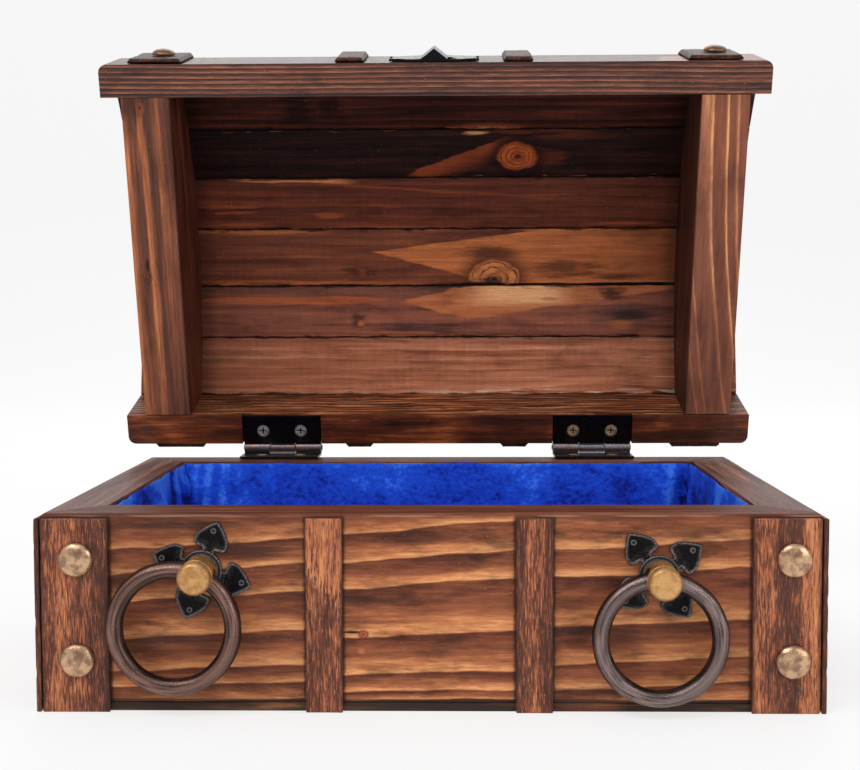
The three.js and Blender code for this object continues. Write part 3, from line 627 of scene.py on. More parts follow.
def stave_4_marks(g):
    """Sapwood opens out from a sharp tip to the full width, round a big broken knot."""
    left = g.spread(g.v, -1.2, -3.0) * g.spread(g.u, -48, -72)
    g.paint(left * g.spread(g.grain(22, 2.4, 3, shift=3), 0.36, 0.5, 0.2, 0.85), (176, 106, 66))
    foot = g.spread(g.v, 20.6, 22.4) * g.spread(g.u, 0, -70, 0.2, 0.8)
    g.paint(foot * g.spread(g.grain(26, 1.8, 3, shift=5), 0.4, 0.6), (176, 98, 58))
    height = g.v + g.ragged(24, 2.6, 4.0)
    flame = g.between(height, g.line(-32.7, 7.2, -0.137), g.line(-32.7, 7.2, 0.27), 0.5)
    tan = g.mix(g.streaks(44, 2.6, 65, 2.0), (156, 88, 54), (216, 132, 80))
    g.paint(flame * 0.95, g.mix(g.spread(g.u, 76, 126, 0, 0.7), tan, (116, 64, 42)))
    rim = g.spread(abs(height - g.line(-32.7, 7.0, -0.137)), 0.8, 0.1)
    g.paint(rim * g.stretch(-34, -20, 40, 60) * 0.45, (92, 48, 32))
    g.marks(0.7, 0.8, [
        (-39.6, 17.0, 7.5, 3.6, 0.75, (62, 34, 25)), (-38.0, 17.6, 2.4, 2.6, 0.75, (140, 72, 42)),
        (27.0, 7.8, 13.5, 3.6, 0.7, (92, 50, 32)), (66.0, 16.0, 17.0, 4.4, 0.8, (78, 42, 28)),
        (73.0, 16.6, 3.4, 1.8, 0.85, (160, 84, 46)), (92.0, 20.4, 12.0, 1.6, 0.8, (62, 36, 27))])
    g.knot(29.4, 20.8, 12.6, 10.2, (212, 134, 84), (78, 40, 26), (92, 50, 32), 4.0)
    g.paint(g.spot(28.2, 22.2, 5.4, 2.6, 0.6, 0.7) * 0.85, CHAR)
    g.paint(g.spread(g.v, 21.8, 22.8) * g.spread(g.u, 44, 56) * 0.7, (198, 122, 76))
    g.paint(g.spread(height, 22.8, 23.6) * g.spread(g.u, -10, 20), (16, 10, 8))


def stave_5_marks(g):
    """Half a lens of pale sapwood lies along the joint, with burns and knots about it."""
    g.paint(g.spread(g.v, 30.4, 27.4) * 0.5, (84, 58, 54))
    streak, swell = g.spot(-78, 31.6, 43, 1.5, wobble=0.5), g.spot(-52, 31.8, 17, 2.2, wobble=0.5)
    g.paint(g.maths("MAXIMUM", streak, swell) * 0.9, (178, 94, 56))
    height = g.v + g.ragged(24, 2.2, 4.0)
    under = g.maths("MINIMUM", g.line(-18.2, 32.8, 0.25), g.line(16.3, 41.4, -0.145))
    lens = g.between(height, g.line(-18.2, 32.8, -0.247), under)
    pale = g.stretch(6, 34, 54, 74) * g.spread(height, 36, 31)
    tan = g.mix(g.streaks(36, 2.4, 65, 2.0), (168, 96, 60), (200, 126, 84))
    g.paint(lens * 0.96, g.mix(pale * 0.85, tan, (240, 186, 138)))
    g.marks(0.7, 0.9, [
        (57.8, 31.3, 3.6, 0.9, 0.6, (150, 90, 60)), (89.5, 28.8, 6.0, 3.0, 0.85, (74, 42, 36)),
        (97.0, 38.8, 17.0, 5.0, 0.7, (70, 54, 54)), (97.0, 39.6, 9.0, 2.4, 0.8, (44, 36, 40)),
        (94.0, 44.6, 6.0, 2.2, 0.7, (176, 106, 70)), (-9.5, 45.6, 18.0, 2.8, 0.75, (60, 46, 48)),
        (-41.0, 41.2, 3.2, 3.6, 0.8, (58, 36, 32)), (-39.4, 43.4, 1.6, 1.4, 0.8, (190, 108, 66)),
        (-24.0, 48.0, 20.0, 0.8, 0.7, (178, 98, 62))])


def stave_6_marks(g):
    foot = g.spread(g.v, 74.0, 75.8) * g.spread(g.grain(20, 2.4, 3), 0.46, 0.56)
    g.paint(foot * g.spread(g.u, -20, 40, 0.15, 0.8), (214, 190, 178))
    g.paint(g.spread(g.v, 53.6, 51.0, 0, 0.5), (104, 66, 58))
    g.paint(g.spread(g.u, 20, -115, 0, 0.4), (118, 64, 44))


STAVE_MARKS = [stave_1_marks, stave_2_marks, stave_3_marks, stave_4_marks, stave_5_marks,
               stave_6_marks]
STRAP_TONES = tones((64, 38, 32), (96, 57, 46), (130, 77, 58), (172, 106, 74), (210, 144, 102))


def strap_wood(name, axes, seed, across, cover, lid=False, bare=None, gain=1.0):
    """Coarse open-grained straps: orange fibres standing out of a scorched ground.

    across gives the strap's two long edges; cover how bare it is worn, from one edge to the
    other; bare a slanting line (height at one edge, slope) above which the stain is rubbed off.
    """
    g = Wood(name, axes, seed, lid)
    low, high = across
    place = g.spread(g.v, low, high, smooth=False)
    coarse = g.grain(6.5, 0.62, 3, 0.65, shift=17) - 0.5
    fine = g.grain(3.6, 0.28, 2, 0.6, shift=41) - 0.5
    value = g.ramp(place, cover) + g.ragged(34, 4.0, 1.0, 3, 0.6, 5)
    if bare:
        height, slope = bare
        ragged = (g.v - low) * slope + g.u + (coarse + fine) * 24.0
        value += g.spread(ragged, height - 0.8, height + 0.8) * 0.26
    value += coarse * 1.45 + fine
    g.colour = g.ramp(value, list(zip((0.02, 0.38, 0.52, 0.64, 0.95), STRAP_TONES)))
    burnt = g.maths("MAXIMUM", g.spread(place, 0.075, 0.02), g.spread(place, 0.925, 0.98))
    g.paint(burnt * 0.65, (66, 38, 32))
    g.dim(gain)
    dust = g.noise(g.vector(g.u, g.v * 2.0, g.w), 1.1, 1.0, 0.4)
    g.paint(g.spread(dust, 0.75, 0.78, 0, 0.6), (214, 190, 168))
    return g.varnish(fine * 0.45 + coarse + 0.72, 0.46, 0.3, 0.12)


# ---------- velvet and metals ----------

def velvet():
    """Crushed rayon velvet, its pile leaning in pale and dark patches, with painted light on the fold
    ridges and painted shade in the fold valleys.
    """
    g = Graph("royal_velvet")
    place = g.place()
    x, y, z = g.split(place)
    pile = g.noise(g.vector(x * 0.8, y, z), 0.12, 4.0, 0.62, 0.5)
    crush = g.noise(g.vector(x, y, z * 1.2), 0.42, 3.0, 0.6)
    weave = g.noise(g.vector(x * 0.7, y, z), 1.7, 2.0, 0.7)
    # The pile's lean, plus painted light on the fold ridges and painted shade in the fold valleys,
    # from the mesh.
    lean = pile * 0.72 + 0.14 + crush * 0.6 + (g.attribute("wear_and_light") - 0.25) * 0.4
    g.colour = g.ramp(g.spread(lean, 0.52, 1.1, smooth=False),
                      [(0.0, (5, 16, 96)), (0.22, (14, 48, 172)), (0.45, (24, 72, 206)),
                       (0.72, (32, 86, 224)), (1.0, (64, 128, 248))])
    g.paint(g.spread(weave, 0.38, 0.28, 0, 0.55), (6, 12, 78))
    g.paint(g.spread(weave, 0.7, 0.78, 0, 0.35), (110, 158, 250))
    return g.finish(0.9, g.bump(weave * 0.5 + crush, 0.7), sheen_weight=0.24, sheen_roughness=0.35,
                    sheen_tint=tone(70, 124, 255), specular_ior_level=0.2)


def black_iron():
    g = Graph("black_iron")
    place = g.place()
    hammer = g.noise(place, 0.42, 2.0, 0.5)
    pits = g.noise(place, 2.6, 3.0, 0.7)
    wear_and_light = g.attribute("wear_and_light") * g.spread(pits, 0.34, 0.6)
    g.colour = g.mix(g.spread(pits, 0.4, 0.7), (14, 12, 14), (34, 30, 33))
    # Painted pale grey on the raised rims: part worn metal, part painted highlight.
    g.paint(wear_and_light * 0.75, (150, 142, 142))
    return g.finish(g.spread(pits, 0.3, 0.75, 0.22, 0.42), g.bump(pits * 0.3 + hammer, 0.45),
                    metallic=0.5, specular_ior_level=0.12)


def hinge_steel():
    g = Graph("hinge_steel")
    place = g.place()
    x, y, z = g.split(place)
    pits = g.noise(place, 1.8, 4.0, 0.7)
    rub = g.noise(place, 0.35, 3.0, 0.6)
    g.colour = g.mix(g.spread(pits, 0.4, 0.72), (22, 18, 17), (56, 50, 50))
    # Painted highlight: the knuckles round the pin are painted pale grey-blue, duller grey-brown
    # towards the left hinge.
    barrel = g.spread(g.distance(y - PIN.y, z - PIN.z), 3.9, 3.3)
    bright = g.mix(g.spread(pits, 0.4, 0.66), (150, 143, 150), (104, 95, 98))
    g.paint(barrel, g.mix(g.spread(x, -30, 30, 0.5, 0.0), bright, (70, 60, 60)))
    rust = g.spread(rub, 0.52, 0.62, 0, 0.75) * g.spread(g.noise(place, 0.12, 1.0), 0.42, 0.58)
    g.paint(rust * barrel, (150, 98, 66))
    return g.finish(g.spread(pits, 0.3, 0.75, 0.22, 0.4), g.bump(pits, 0.08), metallic=0.9)


def ring_metal(name, base, glint, patch, centre):
    """Bronzed iron bar: drawn streaks run round it, with a painted glint on the side facing out,
    painted shade on the rest and painted specular specks.
    """
    g = Graph(name)
    place = g.place()
    x, y, z = g.split(place)
    x, z = x - centre[0], z - centre[1]
    round_bar = g.vector(g.distance(x, z) / 0.9, y / 0.9, (x - z) / 12)
    drawn = g.noise(round_bar, 1.0, 4.0, 0.6)
    broad = g.noise(place, 0.16, 4.0, 0.6)
    fine = g.noise(place, 1.5, 4.0, 0.7)
    g.colour = g.mix(g.spread(broad, 0.4, 0.62), base, patch)
    g.paint(g.spread(drawn, 0.4, 0.78, 0, 0.85), glint)
    # Painted highlight: a glint on the side of the bar that faces out from the board.
    front = g.attribute("wear_and_light")
    g.paint(front * g.spread(drawn, 0.3, 0.6, 0.1, 0.6), glint)
    g.paint(g.spread(drawn, 0.42, 0.28, 0, 0.4), (44, 36, 34))
    # Painted shade: the bar darkens away from the side that faces out.
    g.dim(g.spread(front, 0.0, 0.7, 0.46, 1.06))
    # Painted highlight: fine white specular specks.
    g.paint(g.spread(fine, 0.68, 0.74, 0, 0.8), (226, 208, 200))
    return g.finish(g.spread(fine, 0.3, 0.7, 0.2, 0.42), g.bump(drawn * 1.6 + fine, 0.1), metallic=0.9)


def brass(name, pale, dull, soil, gloss, relief=0.1):
    g = Graph(name)
    place = g.place()
    broad = g.noise(place, 0.3, 3.0, 0.6)
    fine = g.noise(place, 1.6, 4.0, 0.72)
    scratch = g.noise(place, 0.9, 3.0, 0.6, 1.5)
    g.colour = g.mix(g.spread(broad, 0.38, 0.64), pale, dull)
    g.paint(g.spread(fine, 0.55, 0.72, 0, 0.55), soil)
    g.paint(g.attribute("wear_and_light") * 0.75, soil)
    return g.finish(g.spread(fine, 0.3, 0.7, gloss, gloss + 0.2), g.bump(fine * 0.4 + scratch, relief),
                    metallic=0.8)


def screw_metal(name, bright, dull):
    g = Graph(name)
    fine = g.noise(g.place(), 2.2, 3.0, 0.7)
    g.colour = g.mix(g.spread(fine, 0.4, 0.65), bright, dull)
    # Painted shade in the cross recess.
    g.paint(g.spread(g.attribute("recess"), 0.1, 0.6), (26, 22, 20))
    g.paint(g.spread(g.attribute("edge"), 0.8, 0.96, 0, 0.7), (70, 60, 52))
    return g.finish(g.spread(fine, 0.3, 0.7, 0.3, 0.5), g.bump(fine, 0.05), metallic=0.7,
                    specular_ior_level=0.3)


# ---------- mesh building ----------

def linked(name, data):
    """A new object in the scene."""
    made = bpy.data.objects.new(name, data)
    bpy.context.scene.collection.objects.link(made)
    return made


def mesh_of(name, points, faces, unit=MM):
    """A mesh from points in millimetres, or in another unit given in metres."""
    mesh = bpy.data.meshes.new(name)
    mesh.from_pydata([tuple(Vector(point) * unit) for point in points], [], faces)
    mesh.validate()
    return mesh


def smooth(mesh):
    mesh.polygons.foreach_set("use_smooth", [True] * len(mesh.polygons))


def note(mesh, name, values):
    """Gives each point of a mesh a number that its material reads."""
    mesh.attributes.new(name, "FLOAT", "POINT").data.foreach_set("value", values)


def shown(name, points, faces, material, wear_and_light, node=None, sharp=38):
    """Makes a piece from points in millimetres, and puts it in the frame in a node's place."""
    mesh = mesh_of(name, points, faces)
    smooth(mesh)
    mesh.set_sharp_from_angle(angle=math.radians(sharp))
    note(mesh, "wear_and_light", wear_and_light)
    mesh.materials.append(material)
    piece = linked(name, mesh)
    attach(piece, frame["nodes"][node]["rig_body"] if node else "chest_body")
    if node:
        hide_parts(node)
    return piece


def tube(rings, looped=False):
    """Quads between rings of equal length, and from the last to the first if looped."""
    faces = []
    count = len(rings[0])
    for i in range(len(rings) if looped else len(rings) - 1):
        here, there = i * count, (i + 1) % len(rings) * count
        for j in range(count):
            k = (j + 1) % count
            faces.append((here + j, here + k, there + k, there + j))
    return [point for ring in rings for point in ring], faces


def loft(rings):
    """A tube with a face over each end."""
    points, faces = tube(rings)
    count = len(rings[0])
    faces.append(tuple(reversed(range(count))))
    faces.append(tuple(range(len(points) - count, len(points))))
    return points, faces


def rounded_section(corners, radius, spacing, steps=3):
    """A convex outline as points with their outward normals and how near a corner each is."""
    found = []
    total = len(corners)
    middles = []
    for i in range(total):
        before, here, after = (Vector(corners[j % total]) for j in (i - 1, i, i + 1))
        back, ahead = (before - here).normalized(), (after - here).normalized()
        half = back.angle(ahead) / 2
        reach = radius / math.tan(half)
        centre = here + (back + ahead).normalized() * (radius / math.sin(half))
        first, last = here + back * reach - centre, here + ahead * reach - centre
        turn = first.angle_signed(last)
        arc = [centre + Matrix.Rotation(-turn * s / steps, 2) @ first for s in range(steps + 1)]
        middles.append((centre, arc))
    for i, (centre, arc) in enumerate(middles):
        found += [(point, (point - centre).normalized(), 1.0) for point in arc]
        start, end = arc[-1], middles[(i + 1) % total][1][0]
        length = (end - start).length
        normal = found[-1][1]
        pieces = max(1, round(length / spacing))
        for s in range(1, pieces):
            near = min(s, pieces - s) * length / pieces
            found.append((start.lerp(end, s / pieces), normal, math.exp(-near / 1.2)))
    return found


def rough(point, seed, size):
    return noise.noise(Vector(point) / size + Vector((seed * 7.3, seed * 3.1, seed * 5.7)))


def plank(node, ending, section, stations, put, material, seed,
          ripple=0.12, chip=0.5, fibre=0.0, end_round=0.5):
    """A sawn board: its section carried along stations, with soft ends and chipped edges."""
    eased = [(0, 1.0), (0.3, 0.3), (1.0, 0.0)]
    ends = [(stations[0] + end_round * at, end_round * inset) for at, inset in eased]
    far = [(stations[-1] - end_round * at, end_round * inset) for at, inset in reversed(eased)]
    inner = [(s, 0.0) for s in stations if ends[-1][0] + 0.2 < s < far[0][0] - 0.2]
    rings, wear_and_light = [], []
    for s, inset in ends + inner + far:
        ring = []
        for point, normal, edge in section:
            wave = 0.5 + 0.5 * rough((s / 3, point.x, point.y), seed, 5.0)
            nick = max(0.0, rough((s / 2.2, point.x / 4, point.y / 4), seed + 3, 2.1) - 0.12)
            hair = 0.5 + 0.5 * rough((s / 11, point.x, point.y), seed + 5, 0.9)
            depth = inset + ripple * wave + chip * edge * nick + fibre * hair * (1 - edge)
            ring.append(put(s, point - normal * depth))
            wear_and_light.append(min(1.0, edge * (0.35 + 1.6 * nick)))
        rings.append(ring)
    points, faces = loft(rings)
    shown(f"{node}_{ending}", points, faces, material, wear_and_light, node)


def spaced(start, end, step):
    count = max(2, round(abs(end - start) / step))
    return [start + (end - start) * i / count for i in range(count + 1)]


def angles_round(count):
    return [2 * math.pi * i / count for i in range(count)]


def turned(profile, put, sides=64):
    """A turned shape: (radius, height, wear) about an axis, given through put(x, y, z)."""
    points, faces = loft([
        [put(radius * math.cos(a), radius * math.sin(a), height) for a in angles_round(sides)]
        for radius, height, _ in profile])
    return points, faces, [wear_and_light for *_, wear_and_light in profile for _ in range(sides)]


def merged(parts):
    points, faces, wear_and_light = [], [], []
    for more_points, more_faces, more_wear in parts:
        base = len(points)
        points += more_points
        faces += [tuple(base + i for i in face) for face in more_faces]
        wear_and_light += more_wear
    return points, faces, wear_and_light


# ---------- boards kept from the frame ----------

def keep(node, material, bevel, segments=3, angle=40):
    """A frame node whose shape is right gets soft edges, smooth shading and its finish."""
    piece = frame["nodes"][node]
    custom = piece.data.attributes.get("custom_normal")
    if custom is not None:
        piece.data.attributes.remove(custom)
    smooth(piece.data)
    weld = piece.modifiers.new("weld", "WELD")
    weld.merge_threshold = 0.01 * MM
    edges = piece.modifiers.new("soft_edges", "BEVEL")
    edges.width = bevel * MM
    edges.segments = segments
    edges.limit_method = "ANGLE"
    edges.angle_limit = math.radians(angle)
    edges.harden_normals = True
    piece.data.materials.clear()
    piece.data.materials.append(material)


def dress_boards():
    keep("bottom_board", bottom_pine(), 0.8)
    keep("front_board", front_pine(), 0.35)
    keep("back_board", wall_pine("back_pine", "xzy", 7), 0.35)
    keep("left_end_board", wall_pine("left_wall_pine", "yzx", 8, 12.5), 0.35)
    keep("right_end_board", wall_pine("right_wall_pine", "yzx", 10, 9.5), 0.35)
    keep("lid_front_rail", front_rail_pine(), 0.7)
    keep("lid_back_rail", back_rail_pine(), 0.7)
    keep("lid_end_board_left", left_end_pine(), 0.5)
    keep("lid_end_board_right", right_end_pine(), 0.5)


def mark_recess(node, on_lid):
    """Notes on a screw head which points lie in its cross recess, and how far out each is."""
    mesh = frame["nodes"][node].data
    spots = [Vector(vertex.co) / MM for vertex in mesh.vertices]
    if on_lid:
        spots = [to_lid(spot) * Vector((1, 1, -1)) for spot in spots]
    top = max(spot.z for spot in spots)
    face = [spot for spot in spots if spot.z > top - 0.01]
    x = (min(spot.x for spot in face) + max(spot.x for spot in face)) / 2
    y = (min(spot.y for spot in face) + max(spot.y for spot in face)) / 2
    out = [math.hypot(spot.x - x, spot.y - y) for spot in spots]
    deep = [1.0 if 0.3 < top - spot.z < 0.95 and far < 2.2 else 0.0
            for spot, far in zip(spots, out)]
    note(mesh, "recess", deep)
    note(mesh, "edge", [far / max(out) for far in out])


def dress_hinges():
    steel = hinge_steel()
    screws = {"left": screw_metal("screw_zinc", (226, 222, 216), (150, 142, 136)),
              "right": screw_metal("screw_brass", (232, 206, 160), (156, 128, 92))}
    for side in SIDES:
        for kind in ("hinge_body_leaf", "hinge_lid_leaf", "hinge_pin"):
            keep(f"{kind}_{side}", steel, 0.2, 2, 30)
        for place in ("body", "lid"):
            for number in (1, 2):
                node = f"hinge_{place}_screw_{side}_{number}"
                mark_recess(node, place == "lid")
                keep(node, screws[side], 0.08, 2)


# ---------- straps ----------

def make_body_straps():
    """Rough upright straps, built in each node's own box."""
    plain = [(0.0, 0.40), (0.5, 0.48), (1.0, 0.38)]
    covers = {
        "front_corner_strap_left": [(0.0, 0.34), (0.14, 0.54), (0.38, 0.56), (0.56, 0.42),
                                    (1.0, 0.30)],
        "front_mid_strap_left": [(0.0, 0.44), (0.4, 0.40), (1.0, 0.42)],
        "front_mid_strap_right": [(0.0, 0.30), (0.45, 0.52), (0.7, 0.40), (1.0, 0.28)],
        "front_corner_strap_right": [(0.0, 0.52), (0.28, 0.54), (0.38, 0.34), (0.68, 0.30),
                                     (0.76, 0.62), (1.0, 0.72)],
    }
    nodes = [
        f"{face}_{kind}_strap_{side}"
        for face in ("front", "back") for kind in ("corner", "mid") for side in SIDES]
    nodes += [f"{side}_end_strap_{face}" for side in SIDES for face in ("front", "back")]
    for seed, node in enumerate(nodes):
        low, high = node_box(node)
        at_end = "_end_strap_" in node
        axes, across = ("zyx", (low.y, high.y)) if at_end else ("zxy", (low.x, high.x))
        bare = (53.3, 0.89) if node == "front_mid_strap_left" else None
        cover = covers.get(node, plain)
        wood = strap_wood(f"{node}_wood", axes, seed + 31, across, cover, bare=bare)
        corners = [(low.x, low.y), (high.x, low.y), (high.x, high.y), (low.x, high.y)]
        section = rounded_section(corners, 0.55, 0.65)
        plank(node, "rough", section, spaced(low.z, high.z, 1.1),
              lambda s, p: Vector((p.x, p.y, s)), wood, seed, fibre=0.16)


def make_staves():
    """Six boards laid side by side over the lid's curve, with worn and broken arrises."""
    angles = stave_angles()
    for i in range(len(STAVE_WIDTHS)):
        node = f"lid_stave_{i + 1}"
        low, high = node_box(node)
        start, end = angles[i], angles[i + 1]
        ease, swell = 0.12 / DOME_RADIUS, 0.22 / DOME_RADIUS
        corners = [
            dome_point(start + ease), dome_point(end - ease),
            dome_point(end + swell, 3.0), dome_point(end + swell, 5.5),
            dome_point(end - ease, STAVE_THICKNESS), dome_point(start + ease, STAVE_THICKNESS),
            dome_point(start - swell, 5.5), dome_point(start - swell, 3.0)]
        axis = Vector((0, DOME_CENTRE_Z))
        section = [
            (p, n, 0.0 if 1.6 < (p - axis).length - DOME_RADIUS < 6.6 else edge)
            for p, n, edge in rounded_section(corners, 0.45, 1.9)]
        plank(node, "sawn", section, spaced(low.x, high.x, 1.9),
              lambda s, p: from_lid((s, p.x, p.y)), stave_pine(i), 60 + i,
              ripple=0.16, chip=1.1)


def strap_course():
    """The strap's underside over the lid as (y, z) points with outward normals, every 1.2 mm."""
    gap, rise, setback = 0.2, STAVE_THICKNESS + 0.2, 1.2
    outer = BODY_DEPTH / 2 + gap
    crest = dome_point(DOME_HALF_ANGLE, rise)
    shoulder = crest.y - (outer - crest.x) * math.tan(DOME_HALF_ANGLE)
    corners = [Vector((-outer, LID_RIM_Z + setback)), Vector((-outer, shoulder))]
    corners += [dome_point(angle, rise) for angle in stave_angles()]
    corners += [Vector((outer, shoulder)), Vector((outer, LID_RIM_Z + setback))]
    course = []
    for a, b in zip(corners, corners[1:]):
        steps = max(1, round((b - a).length / 1.2))
        course += [a.lerp(b, i / steps) for i in range(steps)]
    course.append(corners[-1])
    for _ in range(2):
        inner = [(a + 2 * b + c) / 4 for a, b, c in zip(course, course[1:], course[2:])]
        course = [course[0]] + inner + [course[-1]]
    found = []
    for i, point in enumerate(course):
        along = course[min(i + 1, len(course) - 1)] - course[max(i - 1, 0)]
        found.append((point, Vector((-along.y, along.x)).normalized()))
    return found


def make_lid_straps():
    course = strap_course()
    for seed, node in enumerate(
            f"lid_{kind}_strap_{side}" for kind in ("corner", "mid") for side in SIDES):
        low, high = node_box(node)
        corners = [(low.x, 0), (high.x, 0), (high.x, 0.9), (high.x - 1.3, LID_STRAP_THICKNESS),
                   (low.x + 1.3, LID_STRAP_THICKNESS), (low.x, 0.9)]
        section = rounded_section(corners, 0.35, 0.9)

        def put(s, p):
            at = min(int(s), len(course) - 2)
            point = course[at][0].lerp(course[at + 1][0], s - at)
            normal = course[at][1].lerp(course[at + 1][1], s - at).normalized()
            spot = point + normal * p.y
            return from_lid((p.x, spot.x, spot.y))

        wood = strap_wood(f"{node}_wood", "yxz", 80 + seed, (low.x, high.x),
                          [(0.0, 0.24), (0.5, 0.30), (1.0, 0.24)], lid=True, gain=0.55)
        plank(node, "rough", section, range(len(course)), put, wood, 80 + seed,
              chip=0.6, fibre=0.14, end_round=0.8)


# ---------- handles ----------

def on_front(x, z, turn, y):
    """Puts a shape drawn in the plane of the front, turned clockwise by degrees."""
    angle = -math.radians(turn)
    cos, sin = math.cos(angle), math.sin(angle)
    return lambda a, b, h: Vector((x + a * cos - b * sin, y - h, z + a * sin + b * cos))


# (middle's distance out, edge's distance out, half width) of a petal, neck to tip
PETAL = [(4.6, 4.6, 3.0), (6.9, 6.9, 2.5), (8.3, 8.1, 2.4), (9.4, 8.3, 4.2), (10.2, 8.9, 6.0),
         (11.2, 10.5, 6.35), (12.8, 12.6, 6.0), (14.8, 14.7, 4.6), (16.7, 16.7, 2.8),
         (18.1, 18.1, 1.3), (PLATE_TIP_RADIUS - 0.2, PLATE_TIP_RADIUS - 0.2, 0.35)]


def petal_rows():
    """Rows all along a petal, on a smooth curve through the ones listed."""
    rows = []
    for i in range(len(PETAL) - 1):
        a, b, c, d = (Vector(PETAL[min(max(i + k, 0), len(PETAL) - 1)]) for k in (-1, 0, 1, 2))
        for t in (0, 0.25, 0.5, 0.75):
            rows.append(0.5 * ((2 * b) + (c - a) * t + (2 * a - 5 * b + 4 * c - d) * t * t
                               + (3 * b - a - 3 * c + d) * t ** 3))
    rows.append(Vector(PETAL[-1]))
    return rows


def petal_shell(put, seed):
    """One stamped petal: dished between raised rims, with ridges fanning from its neck."""
    rows, columns = petal_rows(), 22
    outline = [Vector((row.y, side * row.z)) for row in rows for side in (-1, 1)]
    points, faces, wear_and_light = [], [], []
    for layer in (0, 1):
        for row in rows:
            for j in range(columns + 1):
                t = -math.cos(math.pi * j / columns)
                along = row.x + (row.y - row.x) * t * t
                spot = Vector((along, row.z * t))
                inside = min((spot - corner).length for corner in outline[6:])
                rim = math.exp(-((inside - 0.55) / 0.42) ** 2)
                fall = max(0.0, 1 - inside / 0.3)
                ridge = 0.16 * math.sin(math.atan2(spot.y, spot.x - 3) * 34) * max(
                    0.0, 1 - abs(spot.x - 8.6) / 3.2)
                dent = 0.10 * rough((spot.x, spot.y, 0), seed, 2.4)
                top = 0.62 + 0.52 * rim + ridge + dent - 0.45 * fall * fall
                points.append(put(spot.x, spot.y, min(1.22, top) if layer else 0.1))
                wear_and_light.append(min(1.0, rim + 0.25 * abs(ridge) * 6) if layer else 0.0)
    count, width = len(rows), columns + 1
    for layer in (0, 1):
        base = layer * count * width
        for i in range(count - 1):
            for j in range(columns):
                a = base + i * width + j
                face = (a, a + width, a + width + 1, a + 1)
                faces.append(face if layer else face[::-1])
    edge = [i * width for i in range(count)]
    edge += [(count - 1) * width + j for j in range(1, width)]
    edge += [i * width + columns for i in range(count - 2, -1, -1)]
    edge += [j for j in range(columns - 1, 0, -1)]
    top = count * width
    for a, b in zip(edge, edge[1:] + edge[:1]):
        faces.append((a, b, top + b, top + a))
    return points, faces, wear_and_light


# Each (radius, height, wear).
PLATE_PIN = [(0.0, 0.4, 0.0), (1.25, 0.4, 0.0), (1.2, 0.95, 0.5), (0.95, 1.22, 0.9),
             (0.62, 1.2, 0.9), (0.42, 0.92, 0.1), (0.0, 0.85, 0.1)]
PLATE_BOSS = [(0.0, 0.1, 0.0), (7.5, 0.1, 0.0), (7.6, 0.7, 0.1), (7.5, 1.35, 0.4),
              (7.1, 1.62, 1.0), (6.7, 1.5, 0.5), (6.5, 1.3, 0.1), (6.2, 1.5, 0.3),
              (5.6, 1.95, 0.6), (4.6, 2.08, 0.2), (0.0, 2.1, 0.0)]
PLATE_PIN_OUT = 15.2


def make_plate(side, iron):
    node = f"handle_plate_{side}"
    parts = []
    for arm in range(4):
        put = on_front(*HANDLE_PLACES[side], PLATE_TURNS[side] + 90 * arm, HANDLE_BACK)
        parts.append(petal_shell(put, arm + (10 if side == "left" else 20)))
        parts.append(turned(PLATE_PIN, lambda a, b, h: put(PLATE_PIN_OUT + a, b + 0.4, h), 20))
    put = on_front(*HANDLE_PLACES[side], PLATE_TURNS[side], HANDLE_BACK)
    parts.append(turned(PLATE_BOSS, put))
    points, faces, wear_and_light = merged(parts)
    shown(f"stamped_plate_{side}", points, faces, iron, wear_and_light, node)


def bored(piece, points, faces):
    """Cuts a hole in a piece and leaves it a plain mesh."""
    tool = linked("cutter", mesh_of("cutter", points, faces))
    hole = piece.modifiers.new("hole", "BOOLEAN")
    hole.object, hole.operation, hole.solver = tool, "DIFFERENCE", "EXACT"
    graph = bpy.context.evaluated_depsgraph_get()
    made = bpy.data.meshes.new_from_object(piece.evaluated_get(graph))
    piece.modifiers.clear()
    piece.data = made
    bpy.data.objects.remove(tool)


# Each (how far inside the post's radius, distance out from the board, wear).
POST_PROFILE = [
    (POST_RADIUS, 2.45, 0.0), (0.65, 2.45, 1.0), (0.15, 2.7, 0.7), (0.0, 3.2, 0.0),
    (0.0, 6.0, 0.0), (0.0, 10.5, 0.0), (0.0, 13.4, 0.0), (0.25, 13.6, 0.5), (0.32, 13.85, 1.0),
    (0.25, 14.1, 0.5), (0.0, 14.3, 0.0), (0.0, 14.7, 0.0), (0.2, 14.9, 0.5), (0.27, 15.1, 1.0),
    (0.2, 15.3, 0.5), (0.02, 15.5, 0.0), (0.04, 16.0, 0.0), (0.22, 16.6, 0.35),
    (0.6, 17.2, 0.5), (1.15, 17.62, 0.35), (1.7, 17.8, 0.0), (2.2, 17.84, 0.0),
    (POST_RADIUS - 2.2, 17.74, 0.0), (POST_RADIUS, 17.72, 0.0)]


def make_post(side, metal):
    """A turned brass post with grooves behind its rounded nose, cross-bored for the ring."""
    put = on_front(*HANDLE_PLACES[side], HANDLE_TURNS[side], HANDLE_BACK)
    profile = [(POST_RADIUS - inset, out, wear_and_light) for inset, out, wear_and_light in POST_PROFILE]
    points, faces, wear_and_light = turned(profile, put, 72)
    piece = shown(f"turned_post_{side}", points, faces, metal, wear_and_light,
                  f"handle_post_{side}", sharp=50)
    sagitta = RING_RADIUS - math.sqrt(RING_RADIUS ** 2 - POST_RADIUS ** 2)
    bore = RING_BAR_RADIUS + sagitta / 2 + RING_SLACK + 0.2
    points, faces, _ = turned([(0, -9, 0), (bore, -9, 0), (bore, 9, 0), (0, 9, 0)],
                              lambda a, b, h: put(h, a, POST_HOLE_OUT + b), 40)
    bored(piece, points, faces)
    return RING_RADIUS - sagitta / 2 + RING_SLACK


